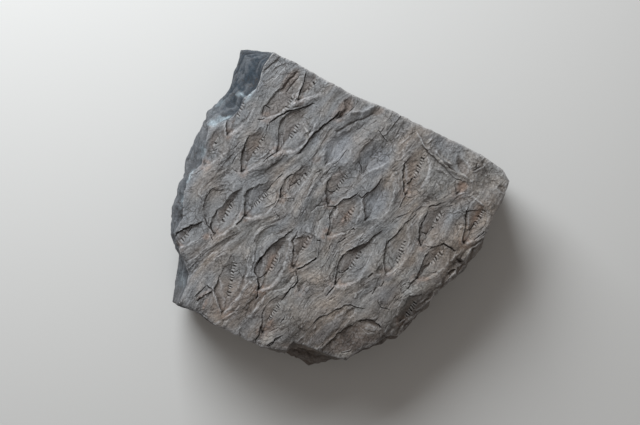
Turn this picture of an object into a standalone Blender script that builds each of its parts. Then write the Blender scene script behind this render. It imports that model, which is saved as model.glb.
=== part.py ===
"""Fossil scale tree bark: one slab of grey-brown stone with the print of bark on its upper face.

The slab lies flat with the bark face up. The bark is a print, so each leaf cushion is a hollow with a
steep left side and a pointed lower end, and folds of bark stand up between them. Straight joints cut the
slab off at the upper right and lower left, and the other sides are broken along its layers.

Sizes are in millimetres until the slab is placed. X and Y run along the bark face, and Z points out of it.
"""

from math import cos, pi, sin

import bmesh
import bpy
import numpy as np
from mathutils import noise

MM = 0.001
NAME = "fossil_bark_slab"
THICKNESS = 38.0
FACETS = 8800  # triangles left after the slab is thinned out
SEGMENTS = 116  # along each of the four quarters of the edge
LEDGES = 20  # down the side
FLAT_SHARE = 0.86  # of the underside's radius
FOOT_LIFT = 1.1  # of the underside's rim above the table
FOOT_INSET = 3.0  # of the underside's rim from the widest outline
WIDEST_AT = 0.5  # share of the depth where the side is widest
LAYER = 5.5  # thickness of one layer of the stone
LAYER_SHIFT = 1.3  # how far one layer stands out past the next
FOLD_LEAN = 0.76  # of the bark's folds from X, in radians
JOINT_LEAN = -0.45  # of the two straight joint faces from X, in radians

# Edge of the bark face, clockwise from the top corner.
FACE_EDGE = [
    (-24.6, 55.3), (-16.6, 51.6), (-8.1, 46.7), (-2.7, 43.8), (6.4, 38.8), (15, 35.8), (27.4, 29.6),
    (40.8, 23.2), (49.8, 18.7), (57.6, 13.3), (59.8, 9.3), (57.6, 2.3), (54.2, -4), (52, -9.2),
    (48.8, -14.8), (47.5, -18.3), (42.9, -23.1), (40.2, -26), (35.1, -30.1), (31.4, -34.3),
    (27.1, -38.6), (24.4, -42.1), (20.7, -46.5), (16.8, -46.1), (10.1, -50), (6.4, -51.2), (1.5, -55),
    (-5.4, -52.8), (-13, -49.7), (-17.4, -48.4), (-20, -51.4), (-28.8, -50.1), (-36.8, -46.1), (-45.4, -42.1),
    (-50.7, -38.2), (-58.5, -34.6), (-56, -29), (-54.8, -24.4), (-56.4, -19.6), (-59.5, -12.7), (-60, -9),
    (-57, -4), (-57, 0), (-56.5, 5), (-54.5, 12), (-50.2, 15.2), (-48.6, 23.7), (-47.5, 29.1),
    (-40.6, 31.2), (-37.1, 34.4), (-34.9, 39.2), (-30.7, 42.2), (-29.1, 46.2), (-28.2, 50.2),
]

# Outline of the slab at its widest, below the bark face, clockwise from the same corner.
SKIRT_EDGE = [
    (-24.2, 56.4), (-8.4, 47.3), (12, 37.2), (36, 25.3), (55, 15.6), (60.6, 9.5), (57.6, 1), (54.6, -6),
    (50, -15), (42.5, -24.5), (33, -33.2), (25, -43), (20, -47.2), (8, -51.5), (-1, -55.2), (-6, -56.7),
    (-12, -57.8), (-20.2, -54.6), (-36.8, -46.6), (-50, -40), (-62.2, -35), (-60.6, -26), (-59.6, -17),
    (-62, -10), (-61.4, 0), (-59.4, 6), (-57, 17), (-53.2, 27), (-50, 36), (-44, 40.4), (-41.4, 45),
    (-38.4, 52), (-36.8, 57.6), (-31, 57.2),
]

# Where the bark face bends over and drops to the lower right, and how steeply it drops.
BEND = [(60, 3), (54, -4), (48, -11), (41.6, -16.4), (37, -23), (29, -31), (18, -38), (14, -46), (12, -54)]
BEND_SLOPE = 0.85
BEND_ROUNDING = 2.5

# Upper edge of the chipped lower corner, and how deep the chip is.
CHIP = [(-9, -51), (-4.9, -46.9), (1, -42.6), (8, -40), (14.5, -43.5), (18, -50)]
CHIP_DEPTH = 1.4

# Leaf cushions: left edge and right edge from the lower tip to the upper end, and depth.
CUSHIONS = [
    ([(-41, 25.6), (-40.5, 33.5), (-34, 42.5), (-29.5, 43.5)], [(-35, 29.5), (-31, 36)], 0.9),
    ([(-27.3, 31.5), (-27.3, 36.7), (-20.5, 44.5), (-14.8, 49.5)], [(-21.5, 33.8), (-15.3, 42)], 0.9),
    ([(-15.8, 37.7), (-14.2, 43.2), (-10, 51)], [(-10, 39.6), (-7, 45)], 0.9),
    ([(-23.6, 19.3), (-22.5, 27), (-18.6, 33.8), (-9.5, 36.8)], [(-16.5, 19.8), (-9.5, 29)], 1.2),
    ([(-35.8, 12.1), (-35.8, 19.2), (-32.3, 26.1), (-26.5, 30)], [(-28, 16.2), (-24, 24.5)], 1.2),
    ([(-49.3, 14.6), (-49, 22), (-42.3, 29.5)], [(-44, 17), (-41.5, 23)], 0.7),
    ([(-34.9, -3.8), (-34.7, 2.2), (-31, 7.3), (-22.5, 11.5)], [(-29.5, -3.6), (-22.6, 2), (-22, 8)], 1.2),
    ([(-22.2, 3), (-20.2, 9.8), (-10, 17.2)], [(-17, 4.5), (-11, 12)], 1.1),
    ([(-5.4, 0.7), (-5.6, 7.8), (2.5, 16.5)], [(-0.5, 2.2), (4.8, 9.5)], 1.0),
    ([(-6.2, 14.8), (-5.2, 23.2), (4, 28.3)], [(-0.5, 18.8), (3.5, 24)], 0.8),
    ([(7.9, 11.8), (6, 19), (13, 26.8)], [(13, 14), (17.5, 21)], 1.0),
    ([(22.5, 4), (21.8, 10.2), (23.5, 17), (29, 21.5)], [(27.5, 5.3), (31.3, 14.5)], 1.0),
    ([(-59, -15), (-57, -8.1), (-49.4, -5.1)], [(-53, -12.6), (-48.8, -7.5)], 0.8),
    ([(-45.6, -10.3), (-46.7, -4.2), (-40.5, 3.4), (-34.8, 9)], [(-39, -7.2), (-35.3, 2)], 1.2),
    ([(-42.7, -38.3), (-45.5, -30.2), (-41, -19.6), (-36.5, -13.2)], [(-36.3, -31.5), (-33.5, -20)], 1.0),
    ([(-29.8, -30), (-31.6, -23), (-26, -14.9), (-17.9, -8.4)], [(-23.3, -26.5), (-19.3, -16)], 1.3),
    ([(-17.4, -22), (-17.5, -14), (-14.7, -7.3)], [(-11.9, -19.8), (-8, -12.5)], 1.2),
    ([(-2.7, -27.8), (-1.8, -21.5), (3.6, -15), (12.2, -9.8)], [(3, -27.6), (8.8, -21)], 1.2),
    ([(15.5, -24), (14.9, -18), (19.4, -9.9), (23.5, -5.5)], [(20.5, -21.5), (24, -10.5)], 1.0),
    ([(-5.6, -10.3), (-4.6, -3.5), (0, 2), (6.3, 5)], [(2, -9.3), (6.8, -1.5)], 1.0),
    ([(8, -5.2), (7.6, 2.3), (16, 12.3)], [(14, -3.7), (18.5, 6)], 1.0),
    ([(28.1, -14.2), (28.3, -6.2), (31.3, 0.2), (39.2, 2.4)], [(34.8, -10), (39.3, -1)], 1.2),
    ([(43.7, -13.3), (44.2, -2.5), (47, 3.3)], [(50.5, -9.2), (52.3, -3)], 1.1),
    ([(26.1, -26.1), (29.6, -18), (37.5, -13.5)], [(34, -24), (38.8, -18)], 1.3),
    ([(20.5, -41.5), (23.5, -33), (28.8, -31)], [(25.5, -38.5), (29, -33)], 0.8),
    ([(-28.8, -45.5), (-27.8, -36.3), (-18, -29)], [(-22.8, -43), (-17.5, -34)], 1.2),
    ([(-15.3, -30.5), (-16.5, -23), (-8.8, -18.5)], [(-10, -26), (-7, -21)], 0.7),
]

# Cracks and scarps: the line, and the drop on its right, in the direction of the line.
SCARP_WIDTH = 0.6
SCARP_REACH = 3.0
SCARPS = [
    ([(-17, 18.8), (-12.4, 23.1), (-8, 28.3), (-3, 31.7), (0, 35)], 0.9),
    ([(-26.6, 29.8), (-20.5, 33.6), (-12.5, 36.3), (-9, 36.5)], 0.6),
    ([(-5.4, 0.6), (-2.7, 0.1), (1.5, 3), (6, 5), (7, 3.2), (10.5, 5.6), (14.8, 11.2)], 0.6),
    ([(-60, -9.8), (-55.5, -7.3), (-49.5, -5.1)], 0.6),
    ([(-45.3, -10), (-48.2, -6.5), (-49, -3.7)], 0.5),
    ([(-24, -35), (-19.3, -30.7), (-15.6, -26), (-16.4, -22.6), (-11.9, -19.9), (-8.4, -18)], 0.7),
    ([(-11, -42.7), (-7, -38.3), (0, -35.4), (4, -35), (9, -36.3)], 0.6),
    ([(-31.2, -48.8), (-28.9, -42.5)], 0.6),
    ([(-27, -50), (-22, -46)], 0.6),
    ([(35, -13.6), (41, -16), (44, -20)], 0.8),
    ([(-52, -33.6), (-46, -30)], 0.5),
]

# Folds of bark that stand up between the cushions: the line, height and half width.
FOLDS = [
    ([(25.5, 27), (30.5, 20), (36, 13.5), (44, 9.4), (47.2, 5)], 0.6, 0.9),
    ([(-21, 35), (-13, 38), (-5, 41)], 0.5, 1.1),
    ([(1.5, 32.2), (8, 34.2), (13, 36.8)], 0.6, 1.0),
    ([(-34, 11.5), (-26, 16.5), (-17, 18), (-10, 24)], 0.6, 1.6),
    ([(-34, -4.8), (-25, -2), (-20, 3)], 0.5, 1.2),
    ([(8.5, 11.6), (16, 15), (20, 18.5)], 0.5, 1.2),
    ([(8.5, -6), (15, -3.4), (19.5, 4)], 0.6, 1.2),
    ([(29, -14.6), (36, -10.8), (40.5, -1)], 0.5, 1.5),
    ([(-28, -31), (-22, -27), (-17, -21.5)], 0.5, 1.5),
    ([(-3, -28.8), (5, -27.8), (10, -20)], 0.4, 1.2),
    ([(-44, -12), (-37, -8), (-30, 0)], 0.4, 1.5),
]


def smooth(low, high, value):
    """0 below low, 1 above high, and an even rise between them."""
    t = np.clip((value - low) / (high - low), 0.0, 1.0)
    return t * t * (3.0 - 2.0 * t)


def curve_through(points, step=1.5):
    """Points every step or so along a smooth curve through a few points."""
    ends = np.array([points[0], *points, points[-1]], float)
    found = []
    for before, start, end, after in zip(ends, ends[1:], ends[2:], ends[3:]):
        count = max(2, int(np.hypot(*(end - start)) / step))
        t = np.arange(count)[:, None] / count
        bend = (2 * before - 5 * start + 4 * end - after) * t**2
        twist = (3 * start - before - 3 * end + after) * t**3
        found.append(start + 0.5 * ((end - before) * t + bend + twist))
    return np.concatenate([*found, ends[-1:]])


def evenly(line, count=12):
    """A line cut into the same number of steps as any other."""
    at = np.linspace(0, len(line) - 1, count)
    return np.column_stack([np.interp(at, np.arange(len(line)), column) for column in line.T])


def from_line(points, line):
    """For each point: how far the line is, how far along it (0 to 1), and which side (1 right, -1 left)."""
    gap = np.full(len(points), np.inf)
    share = np.zeros(len(points))
    side = np.ones(len(points))
    lengths = np.hypot(*np.diff(line, axis=0).T)
    passed = np.concatenate([[0.0], np.cumsum(lengths)])
    for start, end, length, before in zip(line, line[1:], lengths, passed):
        way = (end - start) / length
        rel = points - start
        run = np.clip(rel @ way, 0.0, length)
        off = np.hypot(*(rel - run[:, None] * way).T)
        near = off < gap - 1e-9
        gap[near] = off[near]
        share[near] = (before + run[near]) / passed[-1]
        side[near] = np.where(way[1] * rel[near, 0] > way[0] * rel[near, 1], 1.0, -1.0)
    return gap, share, side


def inside(points, ring):
    """Which points lie inside a closed line."""
    x, y = points.T
    found = np.zeros(len(points), bool)
    for (x0, y0), (x1, y1) in zip(ring, np.roll(ring, -1, axis=0)):
        if y0 != y1:
            found ^= ((y0 > y) != (y1 > y)) & (x < (x1 - x0) * (y - y0) / (y1 - y0) + x0)
    return found


def near_to(points, line, reach):
    """Numbers of the points within reach of the line's box."""
    low = line.min(axis=0) - reach
    high = line.max(axis=0) + reach
    return np.flatnonzero(((points > low) & (points < high)).all(axis=1))


def ripple(points, size):
    """Smooth noise, about -1 to 1, with bumps of the given size."""
    return np.array([noise.noise(p) for p in (points / np.asarray(size)).tolist()])


def ray_length(angles, ring):
    """Distance from the centre to a closed line, in each direction."""
    start = np.array(ring, float)
    start = start[np.argsort(np.arctan2(start[:, 1], start[:, 0]))]
    turn = np.arctan2(start[:, 1], start[:, 0])
    end = np.roll(start, -1, axis=0)
    at = np.searchsorted(turn, angles, side="right") - 1
    (x0, y0), (x1, y1) = start[at].T, end[at].T
    return (x0 * y1 - x1 * y0) / ((y1 - y0) * np.cos(angles) - (x1 - x0) * np.sin(angles))


def cushion_depth(points, left, right, depth):
    """How far one leaf cushion is sunk: a steep drop on its left, and a keel between two slopes."""
    left_edge = curve_through(left)
    right_edge = curve_through([left[0], *right, left[-1]])
    keel = 0.5 * (evenly(left_edge) + evenly(right_edge))
    to_left = from_line(points, left_edge)[0]
    to_right = from_line(points, right_edge)[0]
    to_keel, along, side = from_line(points, keel)
    left_slope = 0.55 + 0.45 * to_left / (to_left + to_keel + 0.01)
    right_slope = to_right / (to_right + to_keel + 0.01)
    rim = smooth(0.0, 0.9, np.minimum(to_left + 0.25, to_right)) * smooth(1.0, 0.65, along)
    within = inside(points, np.concatenate([left_edge, right_edge[-2:0:-1]]))
    return depth * rim * within * np.where(side < 0, left_slope, right_slope)


def undulation(points):
    """Long soft folds that run up to the right, on a gently uneven face."""
    x, y = points.T
    flat = np.column_stack([x, y, 0.0 * x])
    along = x * cos(FOLD_LEAN) + y * sin(FOLD_LEAN)
    across = y * cos(FOLD_LEAN) - x * sin(FOLD_LEAN) + 2.0 * ripple(flat, 13.0)
    return 0.6 * ripple(np.column_stack([along / 17.0, across / 4.6, 0.0 * x]), 1.0) + 0.9 * ripple(flat, 41.0)


def face_height(points):
    """Height of the bark face above its mean level."""
    height = undulation(points)
    for left, right, depth in CUSHIONS:
        near = near_to(points, np.array(left + right), 1.0)
        height[near] -= cushion_depth(points[near], left, right, depth)
    for line, drop in SCARPS:
        near = near_to(points, np.array(line), 9.0)
        gap, share, side = from_line(points[near], curve_through(line))
        ends = smooth(0.0, 0.15, share) * smooth(1.0, 0.85, share)
        step = 0.35 + 0.65 * np.clip(gap * side / SCARP_WIDTH, -1.0, 1.0)
        height[near] -= drop * ends * step * np.exp(-gap / SCARP_REACH)
    for line, rise, half in FOLDS:
        near = near_to(points, np.array(line), 3.0 * half)
        gap, share, _ = from_line(points[near], curve_through(line))
        ends = smooth(0.0, 0.2, share) * smooth(1.0, 0.8, share)
        height[near] += rise * ends * np.exp(-((gap / half) ** 2))
    gap, _, side = from_line(points, curve_through(CHIP))
    height -= CHIP_DEPTH * smooth(-0.4, 0.5, gap * side)
    gap, _, side = from_line(points, curve_through(BEND))
    past = -gap * side
    return height - BEND_SLOPE * 0.5 * (past + np.hypot(past, BEND_ROUNDING))


def disc(across, up):
    """Direction and share of the radius of each point of a square, spread evenly over a disc."""
    share = np.maximum(np.abs(across), np.abs(up))
    wide = np.abs(across) >= np.abs(up)
    safe = np.where(share > 0, share, 1.0)
    turn = np.where(wide, pi / 4 * up / safe, pi / 2 - pi / 4 * across / safe)
    back = np.where(wide, across < 0, up < 0)
    turn = np.where(back, np.where(wide, pi - turn, pi / 2 - pi / 4 * across / safe), turn)
    turn = np.where(back & ~wide, -turn, turn)
    return np.arctan2(np.sin(turn), np.cos(turn)), share


def side_roughness(turn, sunk):
    """How far the side stands out at a direction and a share of the depth: layers, lumps and chips."""
    deep = sunk * THICKNESS
    round_way = np.column_stack([50.0 * np.cos(turn), 50.0 * np.sin(turn), deep])
    broken = 0.35 + 0.65 * smooth(0.0, 0.6, np.abs(np.sin(turn - JOINT_LEAN)) - 0.35)
    layer = np.floor((deep + 2.0 * ripple(round_way, 21.0)) / LAYER)
    shelf = np.column_stack([round_way[:, :2] / 24.0, 7.3 * layer])
    lumps = 1.2 * ripple(round_way, (11.0, 11.0, 7.0)) + 0.5 * ripple(round_way, 4.0)
    return broken * (LAYER_SHIFT * ripple(shelf, 1.0) + lumps)


def stone_points(cube):
    """Places on the slab, in millimetres, of points on the surface of a cube two units wide."""
    across, up, level = cube.T
    turn, share = disc(across, up)
    sunk = 0.5 * (1.0 - level)
    face = ray_length(turn, FACE_EDGE)
    skirt = ray_length(turn, SKIRT_EDGE)
    rough = side_roughness(turn, sunk) * smooth(0.0, 0.12, sunk)
    reach = face + (skirt - face) * smooth(0.0, WIDEST_AT, sunk) + rough - FOOT_INSET * smooth(0.7, 1.0, sunk) ** 2
    plan = (share * reach)[:, None] * np.column_stack([np.cos(turn), np.sin(turn)])
    rim = face[:, None] * np.column_stack([np.cos(turn), np.sin(turn)])
    on_top = level > 0.999
    top = THICKNESS + face_height(np.where(on_top[:, None], plan, rim))
    foot = FOOT_LIFT * smooth(FLAT_SHARE, 1.0, share) * (0.6 + 0.4 * np.sin(5.0 * turn))
    return np.column_stack([plan, foot + (top - foot) * (1.0 - sunk)])


def cube_net():
    """A cube two units wide, cut into rows of small faces."""
    net = bmesh.new()
    bmesh.ops.create_cube(net, size=2.0)
    upright = [e for e in net.edges if abs(e.verts[0].co.z - e.verts[1].co.z) > 1.0]
    bmesh.ops.subdivide_edges(net, edges=upright, cuts=LEDGES - 1, use_grid_fill=True)
    level = [e for e in net.edges if abs(e.verts[0].co.z - e.verts[1].co.z) < 0.001]
    bmesh.ops.subdivide_edges(net, edges=level, cuts=SEGMENTS - 1, use_grid_fill=True)
    return net


def stone_material():
    """Dull grey-brown stone."""
    stone = bpy.data.materials.new("stone")
    stone.use_nodes = True
    surface = stone.node_tree.nodes["Principled BSDF"]
    surface.inputs["Base Color"].default_value = (0.158, 0.150, 0.147, 1.0)
    surface.inputs["Roughness"].default_value = 0.85
    surface.inputs["Metallic"].default_value = 0.0
    stone.diffuse_color = (0.158, 0.150, 0.147, 1.0)
    return stone


def add_slab(collection):
    """The slab of bark, resting on z = 0."""
    net = cube_net()
    cube = np.array([v.co for v in net.verts])
    for vert, place in zip(net.verts, stone_points(cube) * MM):
        vert.co = place
    bmesh.ops.recalc_face_normals(net, faces=net.faces)
    mesh = bpy.data.meshes.new(NAME)
    net.to_mesh(mesh)
    net.free()
    mesh.materials.append(stone_material())
    slab = bpy.data.objects.new(NAME, mesh)
    collection.objects.link(slab)
    thin = slab.modifiers.new("thin", "DECIMATE")
    thin.ratio = FACETS / sum(len(face.vertices) - 2 for face in mesh.polygons)
    return slab


def clear_scene():
    """Remove whatever the scene holds."""
    for old in list(bpy.data.objects):
        bpy.data.objects.remove(old, do_unlink=True)


def main():
    """Build the slab in a collection of its own."""
    clear_scene()
    collection = bpy.data.collections.new("fossil_scale_tree_bark")
    bpy.context.scene.collection.children.link(collection)
    add_slab(collection)


main()
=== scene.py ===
"""Fossil scale tree bark: the stone slab with the print of bark, dressed and lit."""

import logging
from dataclasses import dataclass, field
from enum import Enum
from itertools import product
from math import cos, pi, radians, sin
from typing import Sequence

import bmesh
import bpy
import numpy as np
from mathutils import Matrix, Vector, noise


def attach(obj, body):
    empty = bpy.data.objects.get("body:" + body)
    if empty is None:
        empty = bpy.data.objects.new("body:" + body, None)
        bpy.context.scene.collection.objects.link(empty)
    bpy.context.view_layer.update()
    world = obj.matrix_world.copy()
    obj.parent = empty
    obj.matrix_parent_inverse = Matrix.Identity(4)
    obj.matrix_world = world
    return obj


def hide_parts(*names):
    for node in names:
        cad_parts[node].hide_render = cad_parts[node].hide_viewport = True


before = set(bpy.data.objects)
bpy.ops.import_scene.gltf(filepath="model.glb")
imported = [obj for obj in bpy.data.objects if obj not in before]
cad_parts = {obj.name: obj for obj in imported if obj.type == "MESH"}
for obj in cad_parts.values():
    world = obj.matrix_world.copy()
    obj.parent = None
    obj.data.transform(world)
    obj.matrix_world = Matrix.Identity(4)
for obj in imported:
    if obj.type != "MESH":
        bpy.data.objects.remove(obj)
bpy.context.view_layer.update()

LOG = logging.getLogger("fossil_bark")
MM = 0.001
NODE = "fossil_bark_slab"

ON_TOP = 0.999  # a point of the cube above this height lies on its upper face
SAME_HEIGHT = 0.001  # points of the cube nearer than this in height are level

Line = Sequence[tuple[float, float]]
Hue = tuple[float, float, float]
Feed = float | tuple[float, ...] | bpy.types.NodeSocket

# Noise: each corner of its grid is numbered with the primes, and the number picks one of the ways
PRIMES = (73856093, 19349663, 83492791)
SCRAMBLE = 1274126177
WAY_COUNT = 1024
STEPS = np.arange(WAY_COUNT)
RISE = 1.0 - (2.0 * STEPS + 1.0) / WAY_COUNT
WAYS = {
    2: (np.cos(STEPS), np.sin(STEPS)),
    3: (np.sqrt(1.0 - RISE**2) * np.cos(2.4 * STEPS), np.sqrt(1.0 - RISE**2) * np.sin(2.4 * STEPS), RISE),
}


# Curves and noise, in millimetres


def smooth(low: float, high: float, value: np.ndarray) -> np.ndarray:
    """Rise evenly from 0 to 1.

    Args:
        low: the value where the rise starts.
        high: the value where it ends. It may be lower than low, and then the rise is a fall.
        value: the values to read it at.

    Returns:
        A share from 0 to 1 for each value.
    """
    t = np.clip((value - low) / (high - low), 0.0, 1.0)
    return t * t * (3.0 - 2.0 * t)


def curve_through(points: Line, step: float = 0.8) -> np.ndarray:
    """Draw a smooth curve through a few points.

    Args:
        points: the points that the curve passes.
        step: about how far apart the curve's own points are.

    Returns:
        The curve's points, one row each.
    """
    ends = np.array([points[0], *points, points[-1]], float)
    found = []
    for before, start, end, after in zip(ends, ends[1:], ends[2:], ends[3:]):
        count = max(2, int(np.hypot(*(end - start)) / step))
        t = np.arange(count)[:, None] / count
        bend = (2 * before - 5 * start + 4 * end - after) * t**2
        twist = (3 * start - before - 3 * end + after) * t**3
        found.append(start + 0.5 * ((end - before) * t + bend + twist))
    return np.concatenate([*found, ends[-1:]])


def evenly(line: np.ndarray, count: int = 16) -> np.ndarray:
    """Cut a line into a set number of steps.

    Args:
        line: the line's points.
        count: how many points to return.

    Returns:
        The new points, one row each.
    """
    at = np.linspace(0, len(line) - 1, count)
    return np.column_stack([np.interp(at, np.arange(len(line)), column) for column in line.T])


def from_line(points: np.ndarray, line: np.ndarray) -> tuple[np.ndarray, np.ndarray, np.ndarray]:
    """Measure points against an open line.

    Args:
        points: the points to measure, one row each.
        line: the line's points.

    Returns:
        For each point the distance to the line, how far along the line it lies from 0 to 1, and its
        side: 1 on the right of the line's direction and -1 on the left.
    """
    gap = np.full(len(points), np.inf)
    share = np.zeros(len(points))
    side = np.ones(len(points))
    lengths = np.hypot(*np.diff(line, axis=0).T)
    passed = np.concatenate([[0.0], np.cumsum(lengths)])
    for start, end, length, before in zip(line, line[1:], lengths, passed):
        way = (end - start) / length
        rel = points - start
        run = np.clip(rel @ way, 0.0, length)
        off = np.hypot(*(rel - run[:, None] * way).T)
        near = off < gap - 1e-9
        gap[near] = off[near]
        share[near] = (before + run[near]) / passed[-1]
        side[near] = np.where(way[1] * rel[near, 0] > way[0] * rel[near, 1], 1.0, -1.0)
    return gap, share, side


def inside(points: np.ndarray, ring: np.ndarray) -> np.ndarray:
    """Tell which points lie inside a closed line.

    Args:
        points: the points to test, one row each.
        ring: the line's corners.

    Returns:
        True for each point inside.
    """
    x, y = points.T
    found = np.zeros(len(points), bool)
    for (x0, y0), (x1, y1) in zip(ring, np.roll(ring, -1, axis=0)):
        if y0 != y1:
            found ^= ((y0 > y) != (y1 > y)) & (x < (x1 - x0) * (y - y0) / (y1 - y0) + x0)
    return found


def near_to(points: np.ndarray, line: Line, reach: float) -> np.ndarray:
    """Number the points that lie within reach of a line's box.

    Args:
        points: the points to test, one row each.
        line: the line's points.
        reach: how far outside the box a point may lie.

    Returns:
        The numbers of the points found.
    """
    corners = np.array(line, float)
    low = corners.min(axis=0) - reach
    high = corners.max(axis=0) + reach
    return np.flatnonzero(((points > low) & (points < high)).all(axis=1))


def lump(points: np.ndarray, size: float | Sequence[float]) -> np.ndarray:
    """Read the smooth noise that shapes the plain solid too.

    Args:
        points: where to read it, two or three columns.
        size: the size of its bumps, one number or one for each column.

    Returns:
        A value from about -1 to 1 for each point.
    """
    scaled = points / np.asarray(size, float)
    if scaled.shape[1] == 2:
        scaled = np.column_stack([scaled, np.full(len(scaled), 0.37)])
    return np.array([noise.noise(place) for place in scaled.tolist()])


def ripple(points: np.ndarray, size: float | Sequence[float], shift: float = 0.0) -> np.ndarray:
    """Read smooth noise, quickly for many points.

    Args:
        points: where to read it, two or three columns.
        size: the size of its bumps, one number or one for each column.
        shift: moves to another noise.

    Returns:
        A value from about -1 to 1 for each point.
    """
    scaled = (points / np.asarray(size, float) + shift).T
    cell = np.floor(scaled)
    part = scaled - cell
    fade = part**3 * (part * (part * 6.0 - 15.0) + 10.0)
    base = sum(prime * axis for prime, axis in zip(PRIMES, cell.astype(np.int64))) + round(1000 * shift)
    total = np.zeros(len(points))
    for corner in product((0, 1), repeat=len(part)):
        key = base + sum(prime * up for prime, up in zip(PRIMES, corner))
        key = (key ^ (key >> 13)) * SCRAMBLE & 0xFFFFFFFF
        key = (key ^ (key >> 15)) & (WAY_COUNT - 1)
        value = sum((axis - up) * way[key] for axis, up, way in zip(part, corner, WAYS[len(part)]))
        for axis, up in zip(fade, corner):
            value = value * (axis if up else 1.0 - axis)
        total += value
    return (0.82 + 0.18 * len(part)) * total


def bell(value: np.ndarray, width: float | np.ndarray) -> np.ndarray:
    """Fall from 1 at zero to almost nothing at twice the width, on both sides."""
    return np.exp(-((value / width) ** 2))


def patchy(
    points: np.ndarray, size: float, shift: float, middle: float, gain: float, least: float, most: float,
) -> np.ndarray:
    """Read a strength that comes and goes.

    Args:
        points: where to read it.
        size: the size of its noise.
        shift: which noise it is.
        middle: the strength where the noise is 0.
        gain: how much the noise adds or takes.
        least: the lowest strength.
        most: the highest strength.

    Returns:
        The strength at each point.
    """
    return np.clip(middle + gain * ripple(points, size, shift), least, most)


def ray_length(angles: np.ndarray, ring: Line) -> np.ndarray:
    """Measure from the centre to a closed line, in each direction.

    Args:
        angles: the directions from X, in radians.
        ring: the line's corners.

    Returns:
        The distance in each direction.
    """
    start = np.array(ring, float)
    start = start[np.argsort(np.arctan2(start[:, 1], start[:, 0]))]
    turn = np.arctan2(start[:, 1], start[:, 0])
    end = np.roll(start, -1, axis=0)
    at = np.searchsorted(turn, angles, side="right") - 1
    (x0, y0), (x1, y1) = start[at].T, end[at].T
    return (x0 * y1 - x1 * y0) / ((y1 - y0) * np.cos(angles) - (x1 - x0) * np.sin(angles))


# The bark face


class Tint(Enum):
    """Stains, bands of colour, painted shade and painted highlights on the stone, each a layer of the mesh
    that its finish reads.
    """

    # painted shade in cracks, creases, notches and pits
    CRACK_SHADE = "crack"
    # wear on the crests, with a painted highlight on them, and a painted highlight along the joint rim
    WORN_HIGHLIGHT = "worn"
    # painted shade in the hollows of the relief
    HOLLOW_SHADE = "dusty"
    # brown stain, also painted shadow on the lower sides and painted shade on the left slopes of cushions
    BROWN = "brown"
    RUST = "rust"
    # bluish stone, and a painted tint of the cool light on the left side
    BLUE = "blue"
    PALE = "pale"
    # painted shade in dark bluish grey, on the sides and towards the bottom
    SLATE_SHADE = "slate"
    # dark brown, also used as painted shade and painted shadow
    UMBER = "umber"
    # cool tone at random, and the painted cool colour of the window light towards the upper left
    COOL = "cool"
    FROST = "frost"


class Stains(dict[Tint, np.ndarray]):
    """How strongly each tint colours each point, from 0 to 1: stains, painted shade and painted highlights.
    """

    def __init__(self, count: int) -> None:
        """Start with this many clean points."""
        super().__init__({tint: np.zeros(count) for tint in Tint})

    def add(self, tint: Tint, strength: np.ndarray, near: np.ndarray | slice = slice(None)) -> None:
        """Colour the points that near picks at least this strongly."""
        self[tint][near] = np.maximum(self[tint][near], strength)


@dataclass(frozen=True)
class Ladder:
    """A row of short notches across the keel of a leaf cushion.

    Args:
        start: the lower end of the row.
        end: the upper end of the row.
        count: how many notches it has.
        depth: how deep they are cut.
        half_width: half of a notch's length across the keel.
        lean: how far they lean from a right angle, as a slope.
    """

    start: tuple[float, float]
    end: tuple[float, float]
    count: int
    depth: float = 0.6
    half_width: float = 0.85
    lean: float = 0.2

    def notches(self, points: np.ndarray) -> tuple[np.ndarray, np.ndarray]:
        """Find the notches and the ribs between them.

        Args:
            points: where to read them.

        Returns:
            How much of a notch and how much of a rib each point lies in, from 0 to 1.
        """
        start, end = np.array(self.start), np.array(self.end)
        length = np.hypot(*(end - start))
        way = (end - start) / length
        rel = points - start
        right = rel @ np.array([way[1], -way[0]])
        pitch = length / (self.count - 1)
        rung = (rel @ way + self.lean * right) / pitch + 0.28 * ripple(points, 1.9, 5.0)
        near = np.clip(np.round(rung), 0, self.count - 1)
        grow = 0.68 + 0.32 * np.sin(pi * (near + 0.5) / self.count)
        grow += 0.28 * np.sin(2.4 * near + self.start[1])
        across = smooth(1.0, 0.6, np.abs(right - 0.65 * self.half_width) / (self.half_width * grow))
        strong = 0.72 + 0.28 * np.sin(3.7 * near + self.start[0])
        notch = strong * bell(rung - near, 0.14 + 0.07 * strong)
        ends = smooth(-0.9, -0.5, rung) * smooth(self.count - 0.1, self.count - 0.5, rung)
        return across * notch, across * (1.0 - notch) * ends


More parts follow.
